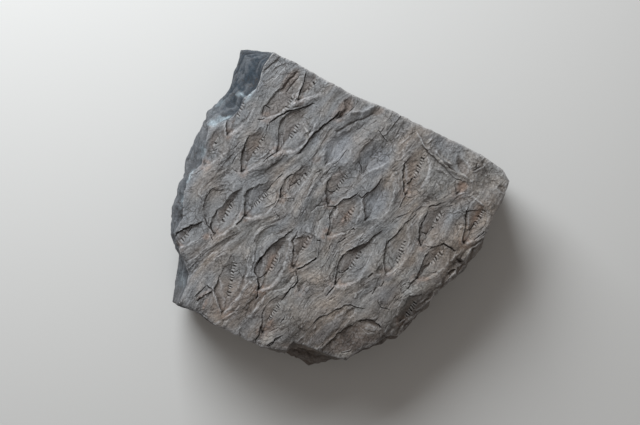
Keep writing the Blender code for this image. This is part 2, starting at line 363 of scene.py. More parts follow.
@dataclass(frozen=True)
class Cushion:
    """One leaf cushion: a hollow with a sharp left side, a keel and a pointed lower end.

    Args:
        left: its left edge, from the lower tip to the upper end.
        right: its right edge between the same two ends.
        depth: how far its keel is sunk.
        scarp: how sharp and dark its left edge is, from 0 to 1.
        ladder: the notches on its keel.
        tongue: share of the length where the left slope ends in a rounded step, or 0.
        stain: the colour of its left slope; a brown one there is also painted shade.
        rust: how rusty its lower end is, from 0 to 1.
    """

    left: Line
    right: Line
    depth: float
    scarp: float
    ladder: Ladder | None = None
    tongue: float = 0.27
    stain: Tint | None = Tint.BROWN
    rust: float = 0.3

    def edges(self) -> tuple[np.ndarray, np.ndarray]:
        """Draw its left and right edges."""
        return curve_through(self.left), curve_through([self.left[0], *self.right, self.left[-1]])

    def axis(self) -> tuple[np.ndarray, np.ndarray]:
        """Find its middle, and half of its length as a vector."""
        tip, head = np.array(self.left[0]), np.array(self.left[-1])
        return (tip + head) / 2, (head - tip) / 2

    def breadth(self) -> float:
        """Measure it across its middle."""
        left, right = self.edges()
        return float(np.hypot(*(evenly(left) - evenly(right))[8]))

    def keel(self) -> np.ndarray:
        """Draw its keel, through the row of notches if it has one.

        Returns:
            The keel's points, from the lower tip to the upper end.
        """
        left, right = self.edges()
        if self.ladder is None:
            return 0.55 * evenly(left) + 0.45 * evenly(right)
        return curve_through([self.left[0], self.ladder.start, self.ladder.end, self.left[-1]])


@dataclass(frozen=True)
class Seam:
    """A crack, with the bark lower on its right than on its left.

    Args:
        line: the way it runs.
        drop: how much lower its right side is.
        reach: how far that drop spreads.
        groove: how deep the crack is cut.
        half: half of the crack's width.
    """

    line: Line
    drop: float = 0.3
    reach: float = 2.0
    groove: float = 0.5
    half: float = 0.25

    def is_narrow(self) -> bool:
        """Tell whether it is a thin dark crack, not a broad dent."""
        return self.half < 0.45


@dataclass(frozen=True)
class Fold:
    """A ridge of bark.

    Args:
        line: the way it runs.
        rise: its height.
        half: half of its width.
    """

    line: Line
    rise: float
    half: float


@dataclass(frozen=True)
class Patch:
    """A soft-edged oval of colour, sunk or raised a little.

    Args:
        centre: its middle.
        radii: its half length and half width.
        lean: the direction of its length from X, in degrees.
        tint: the layer it is painted in.
        strength: how strongly it is painted.
        rise: how far it stands up.
        tilt: how much of that is at the start of its length only, from 0 to 1.
    """

    centre: tuple[float, float]
    radii: tuple[float, float]
    lean: float
    tint: Tint
    strength: float = 0.8
    rise: float = 0.0
    tilt: float = 0.0

    def near(self, points: np.ndarray) -> np.ndarray:
        """Number the points that it may reach."""
        return near_to(points, [self.centre], 1.5 * max(self.radii))

    def cover(self, points: np.ndarray) -> tuple[np.ndarray, np.ndarray]:
        """Read the patch.

        Args:
            points: where to read it.

        Returns:
            How much of the patch covers each point, and how much of its rise it has, from 0 to 1.
        """
        rel = points - np.array(self.centre)
        turn = radians(self.lean)
        along = rel @ np.array([cos(turn), sin(turn)]) / self.radii[0]
        across = rel @ np.array([-sin(turn), cos(turn)]) / self.radii[1]
        ragged = 0.25 * ripple(points, 3.1, 9.0)
        cover = smooth(1.15, 0.45, np.hypot(along, across) + ragged)
        return cover, cover * np.clip(1.0 - self.tilt * (0.5 + 0.6 * along), 0.0, 1.0)


# From the upper left to the lower right, in millimetres from the middle of the slab
CUSHIONS = (
    Cushion(
        [(-41, 25.6), (-41.4, 29), (-40.5, 33.5), (-38, 38.5), (-34, 42.5), (-29.5, 43.5)],
        [(-38, 27), (-35, 29.5), (-32.5, 32.5), (-31, 36), (-29.8, 40)],
        0.9, 0.7, Ladder((-37.4, 33.3), (-35.8, 37.2), 5)),
    Cushion(
        [(-27.3, 31.5), (-28.9, 33), (-28.2, 35), (-25.5, 38.8), (-20.5, 44.5), (-14.8, 49.5)],
        [(-24.5, 32.3), (-21.5, 33.8), (-19, 36), (-16.5, 38.5), (-15.3, 42), (-14, 46)],
        1.0, 0.2, Ladder((-20.7, 35.2), (-18.2, 39.2), 5)),
    Cushion(
        [(-15.8, 37.7), (-15.2, 40), (-14.2, 43.2), (-13.3, 46), (-12.4, 48.5), (-10, 51)],
        [(-13.3, 38.6), (-10, 39.6), (-7.5, 41.5), (-7, 45), (-8, 48.5)],
        0.9, 0.9, Ladder((-12.3, 42.5), (-9.5, 45.8), 4)),
    Cushion(
        [(-23.6, 19.3), (-22.9, 24.5), (-22.3, 29.8), (-20.8, 32.2), (-18.6, 33.8), (-15, 35.1),
         (-9.5, 36.8)],
        [(-20, 19.7), (-16.5, 19.8), (-13.8, 22), (-11.5, 25), (-9.5, 29), (-8.3, 33)],
        1.3, 0.6, Ladder((-18.7, 25.3), (-15.9, 29.9), 6)),
    Cushion(
        [(-35.8, 12.1), (-36.1, 14.5), (-35.8, 19.2), (-34, 24), (-32.3, 26.1), (-30, 27.4), (-26.5, 30)],
        [(-33, 13), (-30.5, 14.8), (-28, 16.2), (-25.8, 18.2), (-24, 21), (-24, 24.5), (-25, 27.5)],
        1.3, 1.0, Ladder((-31.5, 19.6), (-28.4, 25.2), 6)),
    Cushion(
        [(-49.3, 14.6), (-50, 18), (-49, 22), (-46.5, 26), (-44, 28.5), (-42.3, 29.5)],
        [(-46.5, 15.6), (-44, 17), (-42, 19.5), (-41.5, 23), (-41.5, 26)],
        0.7, 0.4, Ladder((-46.5, 21), (-44.5, 25), 3)),
    Cushion(
        [(-34.9, -3.8), (-34.9, 0.5), (-34.7, 2.2), (-34.9, 4.2), (-33.8, 6), (-31, 7.3), (-27.5, 8.5),
         (-24.8, 10.3), (-22.5, 11.5)],
        [(-32, -4), (-29.5, -3.6), (-27, -2.3), (-24.2, -0.2), (-22.6, 2), (-22.1, 5), (-22, 8)],
        1.3, 0.7, Ladder((-31.4, 1.0), (-27.2, 5.2), 7), stain=Tint.BLUE),
    Cushion(
        [(-22.2, 3), (-21.8, 7), (-20.2, 9.8), (-18.8, 11.2), (-15, 13.4), (-14.2, 15), (-12.5, 16.6),
         (-10, 17.2)],
        [(-19.5, 3.1), (-17, 4.5), (-14.5, 7), (-12.5, 9.8), (-11, 12), (-10, 14.5)],
        1.1, 1.0, Ladder((-16, 8.8), (-12.2, 13.2), 5)),
    Cushion(
        [(-5.4, 0.7), (-5.7, 3), (-5.9, 7), (-4.5, 10), (-2.5, 12.5), (0, 14.8), (2.5, 16.5)],
        [(-2.6, 0.3), (-0.5, 2.2), (2, 4), (3.8, 6.5), (4.8, 9.5), (4.8, 13)],
        1.1, 0.7, Ladder((-2.2, 6.6), (1.5, 12.3), 8)),
    Cushion(
        [(-6.2, 14.8), (-6.2, 17.5), (-5.9, 20.5), (-5.2, 23.2), (-3.5, 24.8), (0, 26.5), (4, 28.3)],
        [(-3.5, 16), (-0.5, 18.8), (1.5, 21), (3.5, 24), (4.5, 26.5)],
        0.8, 0.3, tongue=0.0, stain=Tint.BLUE, rust=0.0),
    Cushion(
        [(7.9, 11.8), (6.9, 13.8), (6.2, 16.5), (6, 19), (7.5, 21.5), (10, 24), (13, 26.8)],
        [(10, 12.8), (13, 14), (16, 15.8), (17.5, 18), (17.5, 21), (16, 24)],
        1.1, 0.25, tongue=0.0, stain=Tint.BLUE, rust=0.0),
    Cushion(
        [(22.5, 4), (22.1, 6.5), (21.8, 10.2), (22, 14.8), (23.5, 17), (26, 19.5), (29, 21.5)],
        [(25, 4.2), (27.5, 5.3), (29.6, 8.5), (30.8, 11.5), (31.3, 14.5), (30.8, 18)],
        1.1, 0.9, Ladder((25.6, 10.8), (28.9, 18.6), 9)),
    Cushion(
        [(-59, -15), (-60, -12), (-59.5, -9.7), (-57, -8.1), (-53, -6.6), (-49.4, -5.1)],
        [(-56, -14), (-53, -12.6), (-51, -11.6), (-49.4, -10), (-48.8, -7.5)],
        0.8, 1.0, Ladder((-58, -12.3), (-55.8, -9.5), 4)),
    Cushion(
        [(-45.6, -10.3), (-46.6, -8.5), (-47, -6), (-45.3, -2), (-43.5, -0.3), (-41.8, 1.4), (-40.5, 3.4),
         (-39, 4.9), (-37, 5.8), (-35.8, 7.3), (-34.8, 9)],
        [(-43, -10.1), (-41, -8.8), (-39, -7.2), (-37.5, -5), (-36, -1.5), (-35.3, 2), (-35.2, 5.5)],
        1.2, 1.0, Ladder((-42.9, -4.4), (-39.4, 1.8), 7)),
    Cushion(
        [(-48.9, -4), (-49.4, 0.5), (-48.2, 4.8), (-46.3, 6.5), (-43.5, 7.5), (-38, 8.5)],
        [(-47.2, -4.3), (-45.8, -2.4), (-43.8, -0.4), (-42, 1.3), (-40.5, 3.6), (-39, 5.2)],
        0.6, 0.4, tongue=0.0, stain=None, rust=0.0),
    Cushion(
        [(-42.7, -38.3), (-43.9, -34.8), (-45.5, -30.2), (-44.5, -26.3), (-42.3, -22), (-39.5, -17.3),
         (-36.5, -13.2)],
        [(-41.2, -37), (-38.5, -34), (-36.3, -31.5), (-34.8, -28), (-33.8, -24), (-33.5, -20),
         (-34.5, -16.5)],
        1.1, 0.7, Ladder((-41, -31.4), (-38.9, -20), 12), stain=None),
    Cushion(
        [(-29.8, -30), (-30.1, -27), (-30.3, -25), (-31.6, -23), (-31.2, -20.8), (-28.8, -18), (-26, -14.9),
         (-22.6, -11.7), (-17.9, -8.4)],
        [(-27, -29.4), (-25, -28.3), (-23.3, -26.5), (-21.5, -23.5), (-20.3, -20), (-19.3, -16),
         (-18.3, -12)],
        1.4, 0.9, Ladder((-26.1, -22.6), (-23.4, -16.9), 6), rust=0.6),
    Cushion(
        [(-17.4, -22), (-18.1, -20.3), (-17.6, -16.5), (-17.5, -14), (-18, -12.3), (-15.9, -8.8),
         (-14.7, -7.3)],
        [(-15.4, -21.9), (-13.7, -21), (-11.9, -19.8), (-9, -18.3), (-8.5, -16), (-8, -12.5),
         (-9.5, -10.2)],
        1.3, 0.9, Ladder((-14.5, -15), (-12.2, -10.6), 5), tongue=0.35),
    Cushion(
        [(-2.7, -27.8), (-2.3, -25.6), (-1.8, -21.5), (-0.2, -17.8), (3.6, -15), (8.8, -12.8),
         (12.2, -9.8)],
        [(0, -28), (3, -27.6), (5.5, -26.3), (7.3, -24), (8.8, -21), (10.2, -17.5), (11.5, -13.5)],
        1.3, 0.9, Ladder((2.8, -21), (6.2, -16), 6)),
    Cushion(
        [(15.5, -24), (14.9, -21.5), (14.9, -18), (16.2, -12.7), (19.4, -9.9), (23.5, -5.5)],
        [(18, -23.3), (20.5, -21.5), (22.5, -18), (23.6, -14.5), (24, -10.5)],
        1.0, 0.5, Ladder((19.4, -19.6), (21.9, -12.2), 8), stain=None),
    Cushion(
        [(-5.6, -10.3), (-4.4, -6), (-4.6, -3.5), (-2.3, 0.2), (2.2, 2.9), (6.3, 5)],
        [(-3, -10.6), (-0.5, -9.8), (2, -9.3), (4, -7.6), (5.6, -5), (6.8, -1.5), (7.2, 2)],
        1.1, 0.7, Ladder((1.0, -4), (4.1, 0), 5), tongue=0.2, rust=0.5),
    Cushion(
        [(8, -5.2), (8.3, -2), (7.6, 2.3), (10.4, 5.6), (14, 9.6), (16, 12.3)],
        [(11.3, -4.2), (14, -3.7), (16, -1.8), (17.5, 0.8), (18.5, 4), (18.5, 8)],
        1.1, 0.7, tongue=0.0, stain=Tint.BLUE, rust=0.0),
    Cushion(
        [(28.1, -14.2), (27.6, -10), (28.3, -6.2), (30.3, -2.5), (31.3, 0.2), (34.5, 0.9), (39.2, 2.4)],
        [(30.5, -13.3), (32.8, -12.2), (34.8, -10), (36.3, -7), (37.8, -4), (39.3, -1)],
        1.3, 1.0, Ladder((32.2, -6.8), (35.2, -2), 5)),
    Cushion(
        [(41, 4.2), (40.9, 6), (40.5, 8), (40.6, 9.6), (43, 10)],
        [(43, 4.8), (45, 5.3), (45.2, 7.5)],
        1.0, 0.6, tongue=0.0),
    Cushion(
        [(43.7, -13.3), (43.3, -11.5), (43.5, -9.3), (44.1, -7.3), (44, -5), (44.8, -0.5), (47, 3.3)],
        [(46, -12.5), (48, -11.1), (50.5, -9.2), (52, -6.5), (52.3, -3), (51.3, 0)],
        1.3, 0.9, Ladder((47.4, -6.2), (50.4, -0.8), 7), tongue=0.33, rust=0.5),
    Cushion(
        [(26.1, -26.1), (27, -24), (28, -22), (28.8, -20), (29.6, -18), (31.5, -15), (33.2, -14),
         (37.5, -13.5)],
        [(28.5, -26), (31, -25.7), (34, -24), (37, -21.5), (38.5, -18.5), (38.8, -16)],
        1.4, 1.0, Ladder((31.8, -19.8), (35, -16.2), 5)),
    Cushion(
        [(20.5, -41.5), (21.5, -38.5), (22.5, -35.5), (23.5, -33), (25.5, -31.8), (28.8, -31)],
        [(23, -40.5), (25.5, -38.5), (27.5, -35.8), (29, -33)],
        0.8, 0.5, Ladder((22.8, -38.8), (25.8, -34), 7, 0.8, 1.1), tongue=0.0),
    Cushion(
        [(-28.8, -45.5), (-28.8, -42.5), (-28.4, -38), (-26.5, -34.8), (-23.5, -32), (-20.5, -31),
         (-18, -29)],
        [(-27, -44.9), (-24.5, -44), (-22.8, -43), (-21.5, -40.7), (-20, -38.5), (-18.5, -36),
         (-17.5, -32.5)],
        1.2, 0.9, Ladder((-26.2, -39.8), (-23, -34.6), 8)),
    Cushion(
        [(-15.3, -30.5), (-16, -27.5), (-15.7, -25.5), (-16.5, -23), (-14, -21.5), (-8.8, -18.5)],
        [(-12, -28.3), (-10, -26), (-8, -23.5), (-7, -21), (-7, -19.5)],
        0.7, 0.4, tongue=0.0, stain=None, rust=0.2),
    Cushion(
        [(-1.8, 31.7), (-0.3, 33.8), (0.8, 36), (1.2, 38.4), (2.8, 40.4)],
        [(0.1, 31.4), (1.3, 32.4), (2.4, 33.7), (4, 34.2), (5.2, 36.6), (6, 38.3)],
        0.8, 0.8, tongue=0.0),
)

SEAMS = tuple(Seam(*row) for row in (
    ([(-17, 18.8), (-15, 19.6), (-12.4, 23.1), (-9.5, 26.6), (-6.5, 29.3), (-3.2, 31.5), (0, 34.8)],
     0.8, 3, 0.9, 0.3),
    ([(-26.6, 29.8), (-22.3, 32.4), (-20.5, 33.6), (-15, 35.1), (-10.4, 36.8), (-9.3, 36.2)],
     0.4, 2.5, 0.9, 0.3),
    ([(-28.3, 25), (-27.3, 26.2), (-26.9, 27.8), (-26.6, 29.8)], 0.2, 1.5),
    ([(-30.5, 31.3), (-27.3, 31.5)], 0.2, 1),
    ([(-28.8, 33), (-28.1, 35), (-27.4, 36.6), (-25.3, 35)], 0.1, 1),
    ([(-15.9, 38), (-14.2, 43.2), (-12.5, 48.4)], 0.3, 2, 0.6),
    ([(-13.2, 47.2), (-15.2, 46.6), (-16.6, 45.4)], 0.2, 1, 0.4),
    ([(-28, 15.8), (-27.2, 16.9), (-25.6, 18.4), (-23.6, 19.5)], 0.3, 2, 0.8, 0.3),
    ([(-39.2, 15.3), (-38.2, 17.5), (-37, 19.6)], 0.2, 1.5, 0.3),
    ([(-39.6, 13.9), (-38.2, 12.9), (-37, 12.2)], 0.1, 1.5, 0.3),
    ([(-40.5, 21.3), (-39.8, 20.3), (-38.6, 20.8), (-36, 23.6)], -0.2, 1.5, 0.4),
    ([(-47.6, 20), (-45, 20.2), (-44.4, 20.7)], 0.1, 1),
    ([(-37.8, -6.6), (-36.6, -5.5), (-35, -3.5)], 0.5, 3, 0.9, 0.3),
    ([(-24.2, -0.2), (-23.2, 1.2), (-22.3, 2.8)], 0.3),
    ([(-22, 3.1), (-20, 3.1), (-16.8, 3)], 0.2, 1.5, 0.3, 0.2),
    ([(-19, 6.8), (-17.5, 8), (-14.8, 10.1)], 0.0, 1),
    ([(-5.4, 0.6), (-2.7, 0.1), (0, 2.3), (3, 3.3), (6, 5)], 0.5, 3, 0.9, 0.28),
    ([(6, 5), (7, 3.2), (9, 5.2), (10.5, 5.6), (13, 8.3), (14.8, 11.2)], 0.4, 2, 0.6),
    ([(-5.6, 0.6), (-7.5, 0.5), (-9, 0.2), (-11.3, -1.7)], 0.3, 2, 0.4),
    ([(6.2, 16.6), (6.8, 14.1), (7.8, 12)], 0.3, 2, 0.6),
    ([(13, 27.5), (14.3, 25.8), (16.3, 23)], 0.1, 1, 0.7, 0.22),
    ([(20.4, -0.4), (21.4, 1.4), (22.4, 3.6)], 0.2),
    ([(22.8, 3.9), (23.6, 3.4), (25, 3.5), (27.4, 4.7)], 0.1, 1, 0.4, 0.2),
    ([(-60, -9.8), (-55.5, -7.3), (-51, -5.8), (-49.5, -5.1)], 0.5, 3, 0.9, 0.28),
    ([(-55.4, -9.8), (-54.6, -8.4), (-53.5, -7)], 0.1, 1, 0.4, 0.2),
    ([(-53, -12.6), (-51.5, -12), (-49.3, -10)], -0.2, 2, 0.6),
    ([(-45.3, -10), (-47.2, -7.8), (-48.2, -6.5), (-49, -3.7)], 0.3, 2, 0.9, 0.3),
    ([(-46.2, -12), (-46.6, -11), (-46.8, -9.8)], 0.1, 1, 0.6),
    ([(-52, -33.6), (-48, -30.9), (-46, -30)], 0.4),
    ([(-52.5, -32), (-50.3, -29.8), (-48.6, -28)], 0.3, 2, 0.4),
    ([(-48.4, -28), (-46.6, -29.3), (-45.4, -30.2)], 0.2),
    ([(-22, -33.8), (-19.1, -30.1), (-17, -28.1), (-15.8, -26.6), (-16.1, -24.2), (-16.5, -22.8)],
     0.4, 2.5, 0.9, 0.28),
    ([(-16.5, -22.6), (-13.7, -21), (-9.2, -18.5), (-8.4, -18)], 0.5, 3, 1.1, 0.36),
    ([(-31, -21), (-28.8, -18), (-25.3, -13.8), (-21, -10.6), (-16.4, -7.4)], 0.5, 3, 0.7, 0.28),
    ([(-8.6, -17.7), (-8.3, -14.6), (-7.7, -12)], 0.2, 2, 0.4, 0.2),
    ([(-9, -11.9), (-7.6, -11.9)], 0.1, 1, 0.8, 0.28),
    ([(-6.3, -16.3), (-5.2, -14.3)], 0.0, 1, 0.4, 0.2),
    ([(-4.7, -15.2), (-4.1, -13.5)], 0.0, 1, 0.5, 0.22),
    ([(-1.6, -12.6), (0, -11.7), (1.2, -10.8)], 0.1, 1),
    ([(2, -9.5), (4, -7.8), (5, -8.6)], 0.2),
    ([(-24, -5.4), (-25.5, -6.3), (-28, -6.8)], 0.2, 2, 0.35, 0.2),
    ([(8, -5), (8, -3.5), (8.3, -1.5)], 0.3, 2, 0.8, 0.3),
    ([(1, -16.5), (4, -14.6), (8.8, -12.8), (12.1, -9.8), (15.4, -8.3)], 0.4, 2, 0.7, 0.28),
    ([(-6, -31.9), (-4.8, -30.8), (-2.8, -28)], 0.3, 2, 0.6, 0.3),
    ([(16.3, -12.4), (19.4, -9.9), (21.2, -7.1)], 0.3),
    ([(17.3, -6.2), (20, -3.6), (23, -2.6), (25, -0.6)], 0.2, 2, 0.3),
    ([(20, -8.7), (22, -6.7), (27, -2.3)], 0.2, 2, 0.3),
    ([(37.3, 0.2), (38.6, 0.2), (39.5, 0.8)], 0.1, 1, 0.5, 0.22),
    ([(23.3, -29.5), (24.8, -27.6), (26, -26)], 0.4, 2.5, 0.8, 0.3),
    ([(35, -13.6), (36.6, -13.3), (41, -16)], 0.5, 2, 1.0, 0.4),
    ([(47.3, -11.9), (51.2, -8.9)], -0.2, 2, 0.6),
    ([(41.2, -18.3), (42.5, -19.3), (43.8, -19.9)], 0.6, 2, 0.8, 0.35),
    ([(38, -24.2), (39.6, -22.8), (41, -22)], 0.6, 2, 0.5, 0.3),
    ([(24, -31.8), (27, -31.8), (28.8, -31)], 0.4),
    ([(-11, -42.7), (-8.5, -39.9), (-5, -38.2), (-1.3, -36.5), (2, -34.8), (5.5, -36), (9, -36.3)],
     0.4, 3, 0.5),
    ([(5.8, -41.5), (8.6, -40.1), (12.5, -41.9), (14.2, -43.6)], 0.3, 2, 0.5, 0.3),
    ([(13, -27.4), (13.8, -28.3), (15.2, -26.3)], 0.1, 1, 0.5, 0.3),
    ([(12.8, -33.3), (14.2, -35.9), (15.6, -36.1), (17.3, -37.2)], 0.2),
    ([(10.7, -31.3), (12.5, -28.5)], 0.2, 2, 0.3),
    ([(-31.2, -48.8), (-29.4, -44.8), (-28.9, -42.5)], 0.4, 3, 0.9, 0.3),
    ([(-27, -44.9), (-22.8, -43), (-20.2, -38.8), (-17.8, -35.3)], -0.2, 2, 0.6),
    ([(-27, -50), (-24.6, -48), (-22, -46)], 0.4, 3, 0.8, 0.28),
    ([(-30.3, -25), (-29.9, -27), (-29.8, -30), (-30.9, -33.3)], 0.3, 2, 0.9, 0.3),
    ([(-22.5, 41.2), (-20, 44), (-15.5, 49)], 0.3, 2, 0.5, 0.5),
    ([(-20, 40.5), (-18, 43.5), (-16, 46)], 0.1, 2, 0.4, 0.4),
    ([(-6.2, 11.2), (-3.3, 14.8), (0.4, 18.4), (1.9, 20.8)], 0.1, 2, 0.4, 0.2),
    ([(-9.2, 12.2), (-7.3, 13.1)], 0.1, 1, 0.4, 0.22),
    ([(-3, 26), (3, 29.9), (9, 32.4), (12, 34.4)], 0.4, 3, 0.5, 1.0),
    ([(-1.5, 31.6), (0, 31.4), (2.3, 33.6), (5.2, 36.7), (6, 38.2)], -0.1, 1, 0.5),
    ([(-42.2, -40.3), (-42.6, -41.8), (-43.3, -42.6)], 0.1, 1, 0.4, 0.2),
    ([(-40, -35.6), (-39.3, -34.8), (-38.3, -34)], 0.1, 1, 0.5, 0.25),
    ([(-5.9, 8), (-5.7, 6.6), (-4.8, 5.8), (-3.2, 5.3), (-2.4, 5.9), (-1.6, 7)], 0.3, 1, 0.6, 0.22),
    ([(23.1, 8.5), (24.4, 9), (25.2, 10.4)], 0.3, 1, 0.6, 0.22),
    ([(28.3, -8.9), (29.5, -9.6), (30.6, -9.5), (31.7, -8.4), (32.5, -7.1)], 0.3, 1, 0.6, 0.22),
    ([(44.4, -7.9), (45.9, -8), (46.9, -7.1), (47.7, -5.4)], 0.3, 1, 0.6, 0.22),
    ([(-1.3, -22.9), (-0.7, -23.7), (0.3, -23.7), (1.5, -22.8), (2.6, -21.6)], 0.3, 1, 0.6, 0.22),
    ([(-30.1, -25.1), (-28.3, -24.8), (-26.7, -23.2)], 0.3, 1, 0.5, 0.22),
    ([(28.7, -21.8), (29.8, -20.9), (31.4, -20)], 0.3, 1, 0.5, 0.22),
    ([(-27.4, 5), (-25, 8), (-21.8, 11.4), (-20.6, 12.1)], 0.2, 1.5, 0.45, 0.2),
    ([(-24.2, -1.2), (-22.8, -2.8), (-22.1, -4)], -0.2, 1.5, 0.5, 0.22),
    ([(7.9, -5), (9, -5), (11.2, -4.3)], -0.3, 1, 0.6, 0.22),
    ([(9.2, -25), (11.2, -23.6)], 0.2, 1, 0.5, 0.25),
    ([(46.3, 12.8), (48.2, 13.6), (49.4, 14.1), (50.9, 14.6)], -1.5, 1.8, 0.9, 0.34),
    ([(48.2, 15.4), (48.3, 14.6), (48, 13.8)], 0.2, 1, 0.5, 0.2),
    ([(28, 23), (30, 20.4), (32.5, 18), (35, 15.6), (38, 12.8), (40, 10.6), (42, 9.9), (44, 9),
      (45.6, 7.2), (46.4, 5.6)], 0.4, 1.5, 0.32, 0.2),
    ([(36, 16.1), (37.5, 14.9), (39.8, 13.2), (41, 12.3)], 0.0, 1, 0.5, 0.4),
    ([(16.2, -11.5), (15.6, -14.6), (15, -17.7), (14.9, -20.3), (15.3, -22.3)], -0.3, 2, 0.4, 0.22),
    ([(20, -15.2), (22.7, -17)], 0.0, 1, 0.5, 0.22),
    ([(-26.6, -50.2), (-25.1, -49.2), (-24.4, -48), (-23.7, -46.7), (-21.5, -46.2)], 0.3, 1.5, 0.6, 0.25),
    ([(-0.2, -52.4), (1.7, -51.9), (3.5, -51.5)], 0.2, 1, 0.5, 0.25),
    ([(-6.2, -50), (-3, -46.9), (0.5, -43.8), (4.8, -41.7)], 0.3, 1.2, 0.35, 0.2),
    ([(5.6, -41.3), (8.2, -40.3), (12, -41.2), (14.6, -43.8)], 0.2, 1.2, 0.4, 0.22),
    ([(6.6, -42.4), (8.6, -44.6), (12.4, -44.9)], -0.2, 1, 0.25, 0.2),
    ([(-48.2, -2.4), (-49.4, 1.2), (-47.5, 5), (-46.3, 6.6), (-45, 5.8), (-43, 6), (-41.6, 6.7)],
     0.2, 1.5, 0.3, 0.2),
))

FOLDS = tuple(Fold(*row) for row in (
    ([(25.5, 27), (28, 23.8), (31, 20.2), (35.4, 16.3), (38.4, 13.8), (41, 11.9), (44.5, 10.6), (48, 7)],
     0.55, 0.6),
    ([(33.2, 13.9), (35.5, 13), (37.6, 11.6), (39.6, 10)], 0.4, 0.4),
    ([(-21, 35), (-17, 36.7), (-9, 39.2), (-5, 41)], 0.5, 1.0),
    ([(1.5, 32.2), (4, 33.8), (8, 34.2), (13, 36.8)], 0.7, 0.8),
    ([(-34, 11.5), (-26, 16.5), (-22, 18.3), (-17, 18), (-13, 20.5)], 0.45, 1.4),
    ([(-34, -4.6), (-29, -4.2), (-25, -2)], 0.3, 0.9),
    ([(8.5, 11.6), (12, 13.2), (16, 15), (20, 17.5)], 0.35, 1.1),
    ([(8.5, -6), (12, -4.9), (15, -3.4), (17.8, 0), (19.2, 4)], 0.35, 1.1),
    ([(41.5, 3.4), (44, 4.1), (46, 4.8)], 0.3, 0.8),
    ([(29, -14.6), (33, -13), (36, -10.8), (38.4, -6), (40.5, -1)], 0.5, 1.3),
    ([(44, -14), (47.5, -12.5), (50, -11)], 0.4, 0.7),
    ([(38.5, -20), (41, -17.5), (44, -15)], 0.5, 0.6),
    ([(-28, -31), (-25, -29.8), (-22, -27), (-19, -24), (-17, -21.5)], 0.35, 1.2),
    ([(-3, -28.9), (1, -28.8), (5, -27.8)], 0.3, 0.8),
    ([(5.9, -27), (7.6, -24.3)], 0.3, 0.4),
    ([(32.5, 20.5), (34.6, 18.4), (36.7, 16.7), (38.8, 15.2), (40.6, 14.8)], 0.6, 0.5),
    ([(45.8, 4.5), (47.7, 2.9), (49.6, 1.2), (50.8, 0)], 0.4, 0.35),
    ([(20.5, 22), (24.9, 25.5)], 0.3, 0.3),
    ([(26.5, 27.5), (29, 22.5), (31, 19.5)], 0.35, 0.35),
    ([(33, 24.5), (30, 22.5)], 0.3, 0.3),
))

